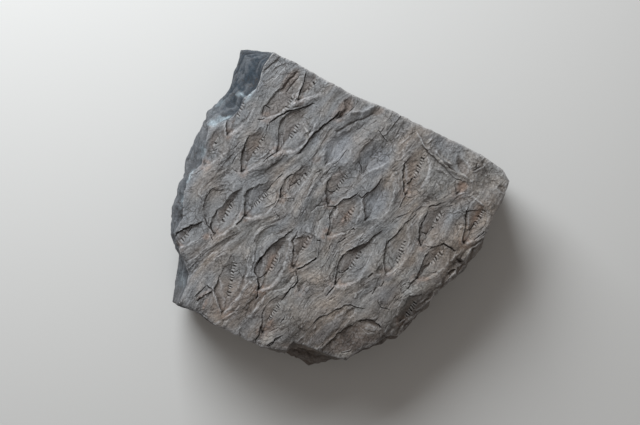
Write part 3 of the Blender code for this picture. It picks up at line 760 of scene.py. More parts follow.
PATCHES = tuple(Patch(*row) for row in (
    ((-22, 37.5), (7.5, 3.2), 52, Tint.BROWN, 0.5),
    ((-18.5, 45.5), (5.5, 2.2), 52, Tint.BROWN, 0.8, -0.2),
    ((1.5, 36), (4.5, 2.6), 58, Tint.BROWN, 0.9),
    ((12.8, 34.2), (3.2, 1.6), 20, Tint.BROWN, 0.7, -0.2),
    ((25.5, 9.5), (5.5, 2.2), 65, Tint.BROWN, 0.6),
    ((43, 7), (2.6, 2.2), 60, Tint.RUST, 0.8),
    ((48, -3.5), (6.5, 2.6), 68, Tint.BROWN, 0.9),
    ((48.6, -3), (4, 1.2), 62, Tint.RUST, 0.5),
    ((1.2, -4.5), (5.5, 2.2), 52, Tint.BROWN, 0.7),
    ((2.4, -2.6), (4.2, 1.1), 52, Tint.RUST, 0.5),
    ((-25.2, -20), (5.5, 1.5), 62, Tint.RUST, 0.6),
    ((-25.5, -43), (4.5, 2), 55, Tint.BROWN, 0.6),
    ((-26, -42), (2.6, 1.2), 55, Tint.RUST, 0.5),
    ((4.5, -47), (12, 5), 28, Tint.BROWN, 0.9),
    ((9.8, -42.9), (3.6, 1.5), -14, Tint.BROWN, 0.4, 0.3),
    ((-6, -44.6), (10, 2.4), 41, Tint.BLUE, 0.6),
    ((-12, -36.5), (9, 4), 50, Tint.PALE, 0.3),
    ((0, -31.5), (9, 2.6), 32, Tint.PALE, 0.35),
    ((16.5, -31), (5, 3.6), 60, Tint.BLUE, 0.5),
    ((-18.5, -50.6), (3.6, 2), -10, Tint.BROWN, 0.6),
    ((29, -25.8), (3.2, 0.9), 3, Tint.RUST, 0.6),
    ((0, -28), (2.8, 0.9), 5, Tint.RUST, 0.6),
    ((-28, -29.6), (2.6, 0.9), 12, Tint.RUST, 0.6),
    ((35, -5), (6.5, 2), 62, Tint.BROWN, 0.5),
    ((-12.6, -13), (4, 1.4), 60, Tint.RUST, 0.4),
    ((-9, 17), (2.4, 1.6), 30, Tint.BROWN, 0.6),
    ((-12, 43.5), (3, 1.6), 60, Tint.BROWN, 0.5),
    ((-1.6, 21), (9, 5.5), 55, Tint.BLUE, 0.9, -0.45),
    ((11.5, 16), (8.5, 5.5), 35, Tint.BLUE, 0.95, -0.65),
    ((12, 27.2), (1.4, 0.7), 20, Tint.PALE, 0.7, 0.15),
    ((17, 29), (3.4, 1.0), 25, Tint.PALE, 0.45, 0.15),
    ((-12.2, 24.8), (1.6, 0.9), -50, Tint.PALE, 0.7),
    ((-8, 18.5), (3, 1.2), 30, Tint.PALE, 0.35, 0.15),
    ((13.2, 2), (6.5, 4.2), 50, Tint.BLUE, 0.9, -0.4),
    ((16.5, -25.5), (2.2, 1.6), 40, Tint.BLUE, 0.7),
    ((-30, 1), (5, 2.4), 50, Tint.BLUE, 0.5),
    ((-9.5, 24.2), (2.6, 1.8), 50, Tint.BLUE, 0.6, -0.2),
    ((-40.5, -4.5), (4.5, 2), 55, Tint.BLUE, 0.4),
    ((43.2, 14.1), (4.2, 1.9), -63, Tint.BROWN, 0.45, -1.3, 1.0),
    ((42.2, 15.9), (1.5, 1.3), -63, Tint.UMBER, 0.35),
    ((49.2, 15.6), (2.3, 1.7), 20, Tint.UMBER, 0.55),
    ((36, 15.8), (6, 0.6), -41, Tint.PALE, 0.8),
    ((43.2, 11.2), (3, 0.8), -24, Tint.PALE, 0.7),
    ((37.3, 16.7), (3.4, 0.5), -38, Tint.PALE, 0.8),
    ((37, 11.9), (2.8, 0.4), -40, Tint.PALE, 0.7),
    ((48, 3), (3.2, 0.5), -38, Tint.PALE, 0.8),
    ((38.6, 14), (2.8, 0.7), -42, Tint.UMBER, 0.35),
    # Painted shade, darker towards the lower left.
    ((-38, -36), (14, 8), 20, Tint.UMBER, 0.16),
    ((16, -41), (6, 4), 30, Tint.UMBER, 0.25),
    ((57.2, 6.6), (2, 1.2), -35, Tint.UMBER, 0.4, -0.7, 0.5),
    ((44.4, 10.8), (1.6, 0.8), -5, Tint.PALE, 0.8),
    ((45, 18), (8, 3.5), -28, Tint.PALE, 0.2),
    ((30.8, 23.4), (2, 0.7), 20, Tint.PALE, 0.8, 0.2),
    ((37, 22), (7, 3), -28, Tint.BLUE, 0.5),
    ((54, 8), (5, 5), 0, Tint.PALE, 0.15),
    ((-38, -33), (14, 9), 20, Tint.BROWN, 0.45),
    ((30, -28.8), (5, 1.8), 12, Tint.PALE, 0.6),
    ((-12.4, 27), (2.4, 0.5), -56, Tint.PALE, 0.9, 0.3),
    ((-29, -8.2), (1.6, 1.1), 20, Tint.PALE, 0.6, 0.2),
    ((-49.4, -31.2), (3.6, 0.7), 34, Tint.RUST, 0.5, 0.2),
    ((1, -53), (4.6, 1.4), 8, Tint.PALE, 0.6, 0.2),
    # Painted shade: the face darker towards the bottom, in umber and dark bluish grey.
    ((-8, -50), (44, 14), -6, Tint.UMBER, 0.54),
    ((-4, -50), (40, 11), -4, Tint.SLATE_SHADE, 0.16),
    ((14, -41), (13, 8), 35, Tint.UMBER, 0.54),
    ((22, -40), (14, 6), 48, Tint.SLATE_SHADE, 0.1),
    ((-21, 29.5), (5, 2.6), 50, Tint.PALE, 0.25),
    ((-15, 32.5), (5, 2), 30, Tint.PALE, 0.3),
    ((-8, 11.6), (5, 2.4), 40, Tint.PALE, 0.4),
    ((16, 25), (6, 3), 40, Tint.PALE, 0.25),
    ((48, 4.4), (5, 2.2), -55, Tint.PALE, 0.4),
    ((25.6, -33), (4.4, 1.2), 50, Tint.PALE, 0.35),
    ((34, -30.5), (18, 5), 45, Tint.BROWN, 0.5),
    ((27, -35), (12, 5), 42, Tint.UMBER, 0.22),
    ((-11.5, -54), (8, 3), -15, Tint.BROWN, 0.9),
    ((6, -44), (12, 6), 28, Tint.UMBER, 0.5),
    ((45, -16.5), (2.4, 1.0), 45, Tint.PALE, 0.6, 0.3),
    ((42.8, -19.6), (1.8, 0.9), -35, Tint.UMBER, 0.8, -0.5),
    ((40, -24.4), (2.6, 0.8), 40, Tint.PALE, 0.4, 0.25),
    ((34.5, -29), (3, 0.8), 40, Tint.PALE, 0.4, 0.25),
    ((-26.5, -47), (3.4, 1.9), 30, Tint.PALE, 0.9),
    ((10, -44), (3.4, 2.6), 20, Tint.PALE, 0.35, 0.5),
    ((-15.2, 39.2), (1.2, 0.8), 0, Tint.PALE, 0.9, 0.2),
    ((33.5, -11.6), (1.4, 0.7), 55, Tint.UMBER, 0.8),
    ((28.4, 7.3), (1.8, 0.7), 50, Tint.UMBER, 0.7),
    ((7.8, 1.3), (1.4, 0.7), -65, Tint.UMBER, 0.7),
    ((-48.5, -10.5), (1.6, 1.2), 30, Tint.RUST, 0.6),
    ((-40.5, -38), (2, 0.7), 34, Tint.RUST, 0.6),
    ((-49, -34.8), (2.4, 0.6), 66, Tint.RUST, 0.6),
))

CRUST = tuple(Patch(*row) for row in (
    ((-33, 39.6), (2.6, 1.0), 55, Tint.FROST, 1.0),
    ((-36.4, 40.8), (1.2, 2.4), 70, Tint.FROST, 0.8),
    ((-44.8, 38.2), (2.6, 1.3), 20, Tint.FROST, 0.6),
    ((-46.5, 30), (1.7, 2.6), 60, Tint.FROST, 1.0),
    ((-43, 31.6), (3.4, 0.9), 12, Tint.FROST, 1.0),
    ((-54.5, 11), (3, 1.3), 70, Tint.FROST, 0.6),
    ((-57.6, 3), (3.4, 1.1), 80, Tint.FROST, 0.6),
    ((-50, 20), (1.2, 3), 20, Tint.FROST, 0.4),
    ((-58.5, -26), (2, 4), 10, Tint.FROST, 0.35),
))


@dataclass(frozen=True)
class Grain:
    """The direction of the bark's grain, which runs up to the right and parts round each cushion.

    Args:
        lean: its direction from X, in degrees.
        part: how strongly a cushion pushes it aside.
    """

    lean: float = 49.0
    part: float = 0.7

    def follow(self, points: np.ndarray) -> np.ndarray:
        """Find how far along and across the grain each point lies.

        Args:
            points: where to read it, x and y.

        Returns:
            The two distances, one row for each point.
        """
        turn = radians(self.lean)
        along = points @ np.array([cos(turn), sin(turn)])
        across = points @ np.array([-sin(turn), cos(turn)])
        pushed = np.zeros(len(points))
        for cushion in CUSHIONS:
            middle, half = cushion.axis()
            length = np.hypot(*half)
            way = half / length
            rel = points - middle
            far = rel @ way / (0.9 * length)
            wide = rel @ np.array([-way[1], way[0]])
            breadth = cushion.breadth()
            pushed += self.part * wide * np.exp(-(far**2) - (wide / (1.1 * breadth)) ** 2)
        wander = 1.1 * ripple(points, 14.0, 2.0) + 0.35 * ripple(points, 5.0, 3.0)
        return np.column_stack([along, across - pushed + wander])


@dataclass(frozen=True)
class Plates:
    """One layer of the thin plates that the bark splits into.

    Args:
        many: how closely they lie.
        size: their length along the grain and their width across it.
        rise: how far each stands above the next.
        sharp: the share of a plate's width that its edge takes up.
        shift: which noise splits them.
    """

    many: float
    size: tuple[float, float]
    rise: float
    sharp: float
    shift: float


@dataclass(frozen=True)
class CushionPaint:
    """How strongly the parts of a cushion are painted, from 0 to 1: stains, painted shade and painted
    highlights.

    Args:
        shadow: the painted shade on the floor beside its sharp left edge.
        lip: the painted highlight on the lip at its right edge.
        line: the painted shade in the dark lines along its tongue and its keel.
        pit: the painted shade in the pit at its lower tip.
        notch: the painted shade in the notches on its keel.
        rib: the pale ribs between them.
        floor: the stain on its left slope, which on a brown cushion is also painted shade.
    """

    shadow: float = 0.4
    lip: float = 0.3
    line: float = 0.5
    pit: float = 0.75
    notch: float = 0.95
    rib: float = 0.32
    floor: float = 0.5


@dataclass
class BarkFace:
    """The upper face: hollows, folds, cracks and grain, and the stains, painted shade and painted highlights
    on them.

    Args:
        grain: the direction of the bark's grain.
        layers: the long plates, and the short ones on them.
        bend: the line past which the face slopes down.
        bend_slope: how steeply it slopes.
        bend_rounding: the radius of the turn.
        bend_ledge: the width of the ledges on the slope.
        bend_calm: where the slope has no ledges.
        chip: the edge of the chip at the bottom.
        chip_depth: how deep it is.
        wobble: how far a line strays from its drawn place.
        vein: the line past which the stone is plain.
        sink: how deep the cushions lie, for each unit of their depth.
        calm: how much of the bark's own relief a cushion's floor loses.
        scarp_cut: how deep the crack along a cushion's left edge is.
        scarp_half: half of that crack's width where it is faint.
        scarp_widening: what is added to that where it is sharp.
        scarp_lip: how high the lip on its left is.
        rolled_lip: how high the lip on a cushion's right is.
        lip_reach: how far both lips reach.
        rib_rise: how high the ribs between the notches are.
        pit_depth: how deep the pit at a cushion's tip is.
        crease_depth: how deep the fine creases are.
        paint: how strongly the parts of a cushion are stained.
        fine_reach: how far from a crack the face is cut finely.
        ladder_reach: how far from a ladder it is.
    """

    grain: Grain = field(default_factory=Grain)
    layers: tuple[Plates, ...] = (
        Plates(1.7, (20.0, 5.2), 0.24, 0.08, 4.5), Plates(2.0, (11.0, 2.6), 0.08, 0.15, 26.0),
        Plates(1.6, (7.0, 4.4), 0.14, 0.09, 41.0))
    bend: Line = (
        (60, 3), (54, -4), (48, -11), (41.6, -16.4), (37, -23), (29, -31), (18, -38), (14, -46), (12, -54))
    bend_slope: float = 0.8
    bend_rounding: float = 2.5
    bend_ledge: float = 2.3
    bend_calm: Patch = Patch((24.3, -36.4), (7, 3.4), 55, Tint.PALE)
    chip: Line = (
        (-9, -52), (-6, -49.8), (-3, -46.8), (0.5, -43.6), (5, -41.5), (8.2, -40.3), (12, -41), (14.6, -43.6),
        (18, -50))
    chip_depth: float = 0.55
    wobble: float = 0.42
    vein: Line = ((20, 34), (25.5, 27), (30.5, 20), (36, 13.5), (41, 10.2), (46, 7.8), (51, 2), (54, -5))
    sink: float = 1.13
    calm: float = 0.4
    scarp_cut: float = 0.32
    scarp_half: float = 0.08
    scarp_widening: float = 0.09
    scarp_lip: float = 0.22
    rolled_lip: float = 0.12
    lip_reach: float = 0.8
    rib_rise: float = 0.12
    pit_depth: float = 0.55
    crease_depth: float = 0.22
    paint: CushionPaint = CushionPaint()
    fine_reach: float = 0.65
    ladder_reach: float = 1.5

    def plates(self, points: np.ndarray, flow: np.ndarray) -> tuple[np.ndarray, np.ndarray]:
        """Shape the thin plates that the bark splits into.

        Args:
            points: where to read them.
            flow: the same places along and across the grain.

        Returns:
            The height and how much of a plate's edge each point lies in.
        """
        ragged = 0.16 * ripple(points, 3.0, 6.5) + 0.10 * ripple(points, 1.1, 6.8)
        height, edge = np.zeros(len(points)), np.zeros(len(points))
        for layer in self.layers:
            split = layer.many * ripple(flow, layer.size, layer.shift) + ragged
            part = split - np.floor(split)
            height += layer.rise * (np.floor(split) + smooth(1.0 - layer.sharp, 1.0, part) - 0.3 * part)
            open_part = smooth(0.05, 0.4, ripple(points, 5.0, layer.shift + 1.0))
            edge = np.maximum(edge, bell(part - 1.0 + layer.sharp, 0.5 * layer.sharp) * open_part)
        return height, edge

    def quiet(self, points: np.ndarray, flow: np.ndarray) -> np.ndarray:
        """Tell how smooth the bark is at each point.

        Args:
            points: where to read it.
            flow: the same places along and across the grain.

        Returns:
            A share from 0 for the roughest to 1.
        """
        found = 0.65 * smooth(0.3, -0.12, ripple(flow, (18.0, 7.0), 31.0))
        for patch in PATCHES:
            if patch.tint is Tint.BLUE:
                near = patch.near(points)
                found[near] = np.maximum(found[near], 0.85 * patch.cover(points[near])[0])
        return found

    def swell(self, points: np.ndarray, flow: np.ndarray) -> tuple[np.ndarray, np.ndarray]:
        """Shape the folds between the cushions, the plates and strands on them and their creases.

        Args:
            points: where to read it.
            flow: the same places along and across the grain.

        Returns:
            The height and how much of a crease each point lies in.
        """
        plain = self.matrix(points)
        lively = 1.0 - self.quiet(points, flow)
        broad = 0.9 * lump(points + 12.3, 41.0) + 0.9 * ripple(points, 9.0, 1.0)
        bands = 0.65 * ripple(flow, (17.0, 5.6), 4.0) + 0.3 * (0.5 - np.abs(ripple(flow, (24.0, 4.0), 4.2)))
        plates, edges = self.plates(points, flow)
        strands = 0.07 * (1.0 - 2.4 * np.abs(ripple(flow, (11.0, 1.1), 7.0)))
        strands = strands + 0.04 * ripple(flow, (4.5, 0.5), 7.5)
        grit = 0.10 * ripple(points, 3.6, 7.6) + 0.06 * ripple(points, 1.7, 7.8)
        grit += 0.04 * ripple(points, 0.8, 8.0) + 0.03 * ripple(points, 0.45, 8.5)
        line = ripple(flow, (17.0, 4.0), 13.0) + 0.05 * ripple(points, 1.1, 14.0)
        creases = bell(line, 0.022) * smooth(0.12, 0.4, ripple(points, 5.0, 15.0))
        creases = np.maximum(creases, 0.35 * edges * lively) * (1.0 - plain)
        split = 2.4 * ripple(points, (7.0, 4.0), 16.0) + 0.5 * ripple(points, 1.7, 16.5)
        part = split - np.floor(split)
        rough = 0.12 * (np.floor(split) + smooth(0.8, 1.0, part)) + 0.16 * ripple(points, 2.1, 17.0)
        rough += 0.13 * ripple(points, 1.1, 17.3) + 0.07 * ripple(points, 0.6, 17.6)
        grained = (plates + strands) * lively * (1.0 - plain)
        return broad + bands + grit + grained + rough * plain - self.crease_depth * creases, creases

    def chipped(self, points: np.ndarray) -> np.ndarray:
        """Tell how much of each point lies in the chip at the lower edge."""
        gap, _, side = from_line(points, curve_through(self.chip, 3.0))
        return smooth(-0.8, 0.9, gap * side)

    def past_bend(self, points: np.ndarray) -> np.ndarray:
        """Measure how far past the bend each point lies."""
        gap, _, side = from_line(points, curve_through(self.bend, 3.0))
        return -gap * side

    def matrix(self, points: np.ndarray) -> np.ndarray:
        """Tell where there is plain stone without bark: past the vein, past the bend and in the chip.

        Args:
            points: where to read it.

        Returns:
            How much of each point is plain, from 0 to 1.
        """
        gap, _, side = from_line(points, curve_through(self.vein, 4.0))
        past = smooth(-0.5, 1.5, -gap * side + 0.8 * ripple(points, 4.0, 18.0))
        bent = 0.85 * smooth(0.5, 4.0, self.past_bend(points))
        return np.maximum(np.maximum(past, bent), 0.6 * self.chipped(points))

    def shake(self, points: np.ndarray) -> np.ndarray:
        """Shift points a little, so that the lines read at them come out uneven.

        Args:
            points: the points to shift.

        Returns:
            The shifted points.
        """
        shaken = points.copy()
        for size, shift in ((2.2, 11.0), (0.8, 12.0)):
            shift_by = np.column_stack([ripple(points, size, shift), ripple(points, size, shift + 6.0)])
            shaken += self.wobble * size / 2.2 * shift_by
        return shaken

    def carve(self, points: np.ndarray, cushion: Cushion) -> tuple[np.ndarray, Stains, np.ndarray]:
        """Work out one cushion.

        Args:
            points: points near it.
            cushion: the cushion.

        Returns:
            The change of height, the stains, and how far its floor is smoothed, for each point.
        """
        left_edge, right_edge = cushion.edges()
        to_left, climb, left_side = from_line(points, left_edge)
        to_right, _, right_side = from_line(points, right_edge)
        to_keel, share, side = from_line(points, cushion.keel())
        within = inside(points, np.concatenate([left_edge, right_edge[-2:0:-1]]))
        sharp = cushion.scarp * smooth(1.0, 0.72, climb) * patchy(points, 2.8, 23.0, 0.7, 1.1, 0.08, 1.15)
        stains = Stains(len(points))

        # The hollow: two slopes that meet at the keel, and a rounded tongue at the lower end of the left
        left_slope = 0.14 + 0.11 * np.minimum(sharp, 1.0) + 0.73 * to_left / (to_left + to_keel + 0.01)
        right_slope = 0.3 + 0.52 * to_right / (to_right + to_keel + 0.01)
        lobe = cushion.tongue + 0.10 * (to_keel / 2.5) ** 2 - 0.05
        past_tongue = (share - lobe) * 2.0 * np.hypot(*cushion.axis()[1])
        tip = smooth(0.1, -0.25, past_tongue) * (cushion.tongue > 0)
        left_slope = left_slope + (0.6 - left_slope) * tip
        right_slope = np.maximum(right_slope, 0.6 * tip * smooth(0.0, 1.0, to_right))
        sunk = right_slope + (left_slope - right_slope) * smooth(0.12, -0.12, to_keel * side)
        head = smooth(1.0, 0.62, share)
        wall = 0.85 - 0.55 * np.minimum(sharp, 1.0)
        rim = smooth(0.0, 1.0, np.where(to_left < to_right, (to_left + 0.14) / wall, to_right / 0.7))
        change = -self.sink * cushion.depth * sunk * rim * head * within

        # The sharp crack at the left, with a raised lip, and the rolled lip at the right, with painted shade
        # in the crack and on the floor beside it and a painted highlight by the rolled lip
        width = self.scarp_half + self.scarp_widening * sharp
        change -= self.scarp_cut * sharp * bell(to_left, 1.3 * width)
        change += self.scarp_lip * sharp * np.exp(-to_left / self.lip_reach) * (~within & (left_side < 0))
        lifted = patchy(points, 4.0, 27.0, 0.35, 1.2, 0.0, 1.0) * smooth(1.0, 0.6, share)
        change += self.rolled_lip * lifted * np.exp(-to_right / self.lip_reach) * (~within & (right_side > 0))
        stains.add(Tint.CRACK_SHADE, sharp * bell(to_left, width))
        stains.add(Tint.UMBER, self.paint.shadow * sharp * np.exp(-to_left / 0.6) * within)
        lip = bell(to_right - 0.3, 0.45) * (~within) * smooth(0.7, 0.3, share)
        stains.add(Tint.PALE, self.paint.lip * lip * lifted)

        # Painted shade in dark lines along the tongue and the keel, and in a pit at the lower tip
        tongue_line = bell(past_tongue, 0.2) * within * (side < 0) * (cushion.tongue > 0)
        tongue_line = tongue_line * smooth(0.3, 0.9, to_left) * patchy(points, 2.0, 24.0, 0.7, 1.0, 0.1, 1.0)
        keel_line = bell(to_keel * side + 0.12, 0.16) * within
        keel_line = keel_line * smooth(lobe, lobe + 0.08, share) * smooth(lobe + 0.34, lobe + 0.16, share)
        from_tip = np.hypot(*(points - np.array(cushion.left[0]) - (0.3, 0.5)).T)
        pit = min(1.0, cushion.scarp + 0.1) * bell(from_tip, 0.75)
        change -= self.pit_depth * pit
        stains.add(Tint.CRACK_SHADE, self.paint.line * np.maximum(tongue_line, keel_line))
        stains.add(Tint.CRACK_SHADE, self.paint.pit * pit)

        # The notches with painted shade in them, the pale ribs, the stained field, which on a brown cushion
        # is also painted shade, and the rust
        if cushion.ladder is not None:
            notches, ribs = cushion.ladder.notches(points)
            change += self.rib_rise * ribs - cushion.ladder.depth * notches
            stains.add(Tint.CRACK_SHADE, self.paint.notch * notches)
            stains.add(Tint.PALE, self.paint.rib * ribs)
        if cushion.stain is not None:
            floor = within * (side < 0) * smooth(0.15, 0.8, to_left) * head * (1.0 - 0.5 * tip)
            uneven = patchy(points, 3.2, 33.0, 0.85, 0.9, 0.2, 1.3)
            stains.add(cushion.stain, self.paint.floor * floor * uneven)
        low_edge = bell(to_right, 0.9) * smooth(0.34, 0.1, share)
        low_edge = low_edge * patchy(points, 1.6, 34.0, 0.6, 1.0, 0.1, 1.0)
        halo = bell(from_tip - 1.4, 0.9) * patchy(points, 1.3, 35.0, 0.7, 1.0, 0.0, 1.2)
        stains.add(Tint.RUST, np.maximum(cushion.rust * low_edge, 1.6 * cushion.rust * halo))
        return change, stains, within * smooth(0.0, 0.8, np.minimum(to_left, to_right))

    def crack(self, points: np.ndarray, shaken: np.ndarray, height: np.ndarray, stains: Stains) -> None:
        """Cut the seams, and paint shade in them and beside them on their lower side.

        Args:
            points: where to read them.
            shaken: the same points, shifted a little.
            height: the height to change.
            stains: the stains to add to.
        """
        uneven = patchy(points, 2.6, 19.0, 0.75, 0.8, 0.15, 1.2)
        for seam in SEAMS:
            near = near_to(points, seam.line, 3.0 * seam.reach)
            gap, share, side = from_line(shaken[near], curve_through(seam.line))
            ends = smooth(0.0, 0.12, share) * smooth(1.0, 0.88, share)
            step = 0.35 + 0.65 * np.clip(gap * side / 0.2, -1.0, 1.0)
            height[near] -= ends * seam.drop * step * np.exp(-gap / seam.reach)
            cut = ends * uneven[near] * bell(gap, 0.5 * seam.half * (0.3 + uneven[near]))
            height[near] -= seam.groove * cut
            # Painted shade in the crack, and in umber beside it on its lower, right side.
            stains.add(Tint.CRACK_SHADE, min(0.35 + 0.7 * seam.groove, 1.0) * seam.is_narrow() * cut, near)
            stains.add(Tint.UMBER, 0.5 * seam.groove * ends * np.exp(-gap / 0.5) * (side > 0), near)

    def bend_down(self, points: np.ndarray, height: np.ndarray, stains: Stains) -> None:
        """Slope the face down past the bend, in ledges, and paint shade on the slope, which faces away from
        the window.

        Args:
            points: where to read the slope.
            height: the height to change.
            stains: the stains to add to.
        """
        past = self.past_bend(points)
        # Painted shade in umber on the slope past the bend, patchy.
        slope_shade = patchy(points, 3.0, 57.0, 0.8, 1.2, 0.1, 1.3)
        stains.add(Tint.UMBER, 0.52 * smooth(0.0, 3.0, past) * slope_shade)
        wavy = (past + 2.2 * ripple(points, 6.0, 55.0) + 1.0 * ripple(points, 2.2, 56.0)) / self.bend_ledge
        tread = np.floor(wavy) + smooth(0.4, 1.0, wavy - np.floor(wavy)) - wavy
        stepped = smooth(0.3, 2.5, past) * (1.0 - self.bend_calm.cover(points)[0])
        past = past + 0.9 * self.bend_ledge * tread * stepped
        height -= self.bend_slope * 0.5 * (past + np.hypot(past, self.bend_rounding))

    def read(self, points: np.ndarray) -> tuple[np.ndarray, Stains, np.ndarray]:
        """Read the face.

        Args:
            points: where to read it, x and y.

        Returns:
            The height above the mean level, the strength of each stain, and the place along and across
            the grain, for each point.
        """
        flow = self.grain.follow(points)
        height, creases = self.swell(points, flow)
        stains = Stains(len(points))
        # Painted shade in the creases.
        stains.add(Tint.CRACK_SHADE, 0.5 * creases)
        # Painted light colour: cooler towards the upper left, under the window light, and warmer towards the
        # lower right, where warm light is thrown back; noise adds cool tone at random.
        slant = (0.83 * points[:, 1] - 0.55 * points[:, 0]) / 55.0
        cool = 0.52 + 0.6 * slant + 0.8 * ripple(points, 17.0, 51.0) + 0.7 * ripple(flow, (9.0, 4.0), 52.0)
        stains.add(Tint.COOL, np.clip(cool, 0.0, 1.0))
        shaken = self.shake(points)
        for cushion in CUSHIONS:
            near = near_to(points, [*cushion.left, *cushion.right], 3.0)
            change, marks, calm = self.carve(shaken[near], cushion)
            height[near] = height[near] * (1.0 - self.calm * calm) + change
            for tint, strength in marks.items():
                stains.add(tint, strength, near)
        self.crack(points, shaken, height, stains)
        for fold in FOLDS:
            near = near_to(points, fold.line, 3.0 * fold.half)
            gap, share, _ = from_line(shaken[near], curve_through(fold.line))
            ends = smooth(0.0, 0.2, share) * smooth(1.0, 0.8, share)
            height[near] += fold.rise * ends * bell(gap, fold.half)
        for patch in PATCHES:
            near = patch.near(points)
            cover, lift = patch.cover(points[near])
            height[near] += patch.rise * lift
            stains.add(patch.tint, patch.strength * cover, near)
        chipped = self.chipped(shaken)
        height -= self.chip_depth * chipped
        stains.add(Tint.UMBER, 0.95 * chipped * patchy(points, 4.0, 53.0, 0.9, 1.0, 0.5, 1.2))
        self.bend_down(points, height, stains)
        return height, stains, flow

    def needs_detail(self, points: np.ndarray) -> np.ndarray:
        """Tell which points lie by a crack, a cushion's sharp edge or a ladder.

        Args:
            points: the points to test.

        Returns:
            True for each such point.
        """
        found = np.zeros(len(points), bool)
        for seam in SEAMS:
            near = near_to(points, seam.line, 1.0)
            gap, _, _ = from_line(points[near], curve_through(seam.line, 2.0))
            found[near] |= (gap < self.fine_reach) & seam.is_narrow()
        for cushion in CUSHIONS:
            near = near_to(points, [*cushion.left, *cushion.right], 2.0)
            if cushion.ladder is not None:
                row = np.linspace(cushion.ladder.start, cushion.ladder.end, 12)
                gap, _, _ = from_line(points[near], row)
                found[near] |= gap < self.ladder_reach
            gap, share, _ = from_line(points[near], curve_through(cushion.left, 2.0))
            found[near] |= (gap < self.fine_reach) & (share < 0.9)
        return found


# The slab, its finish and its mesh


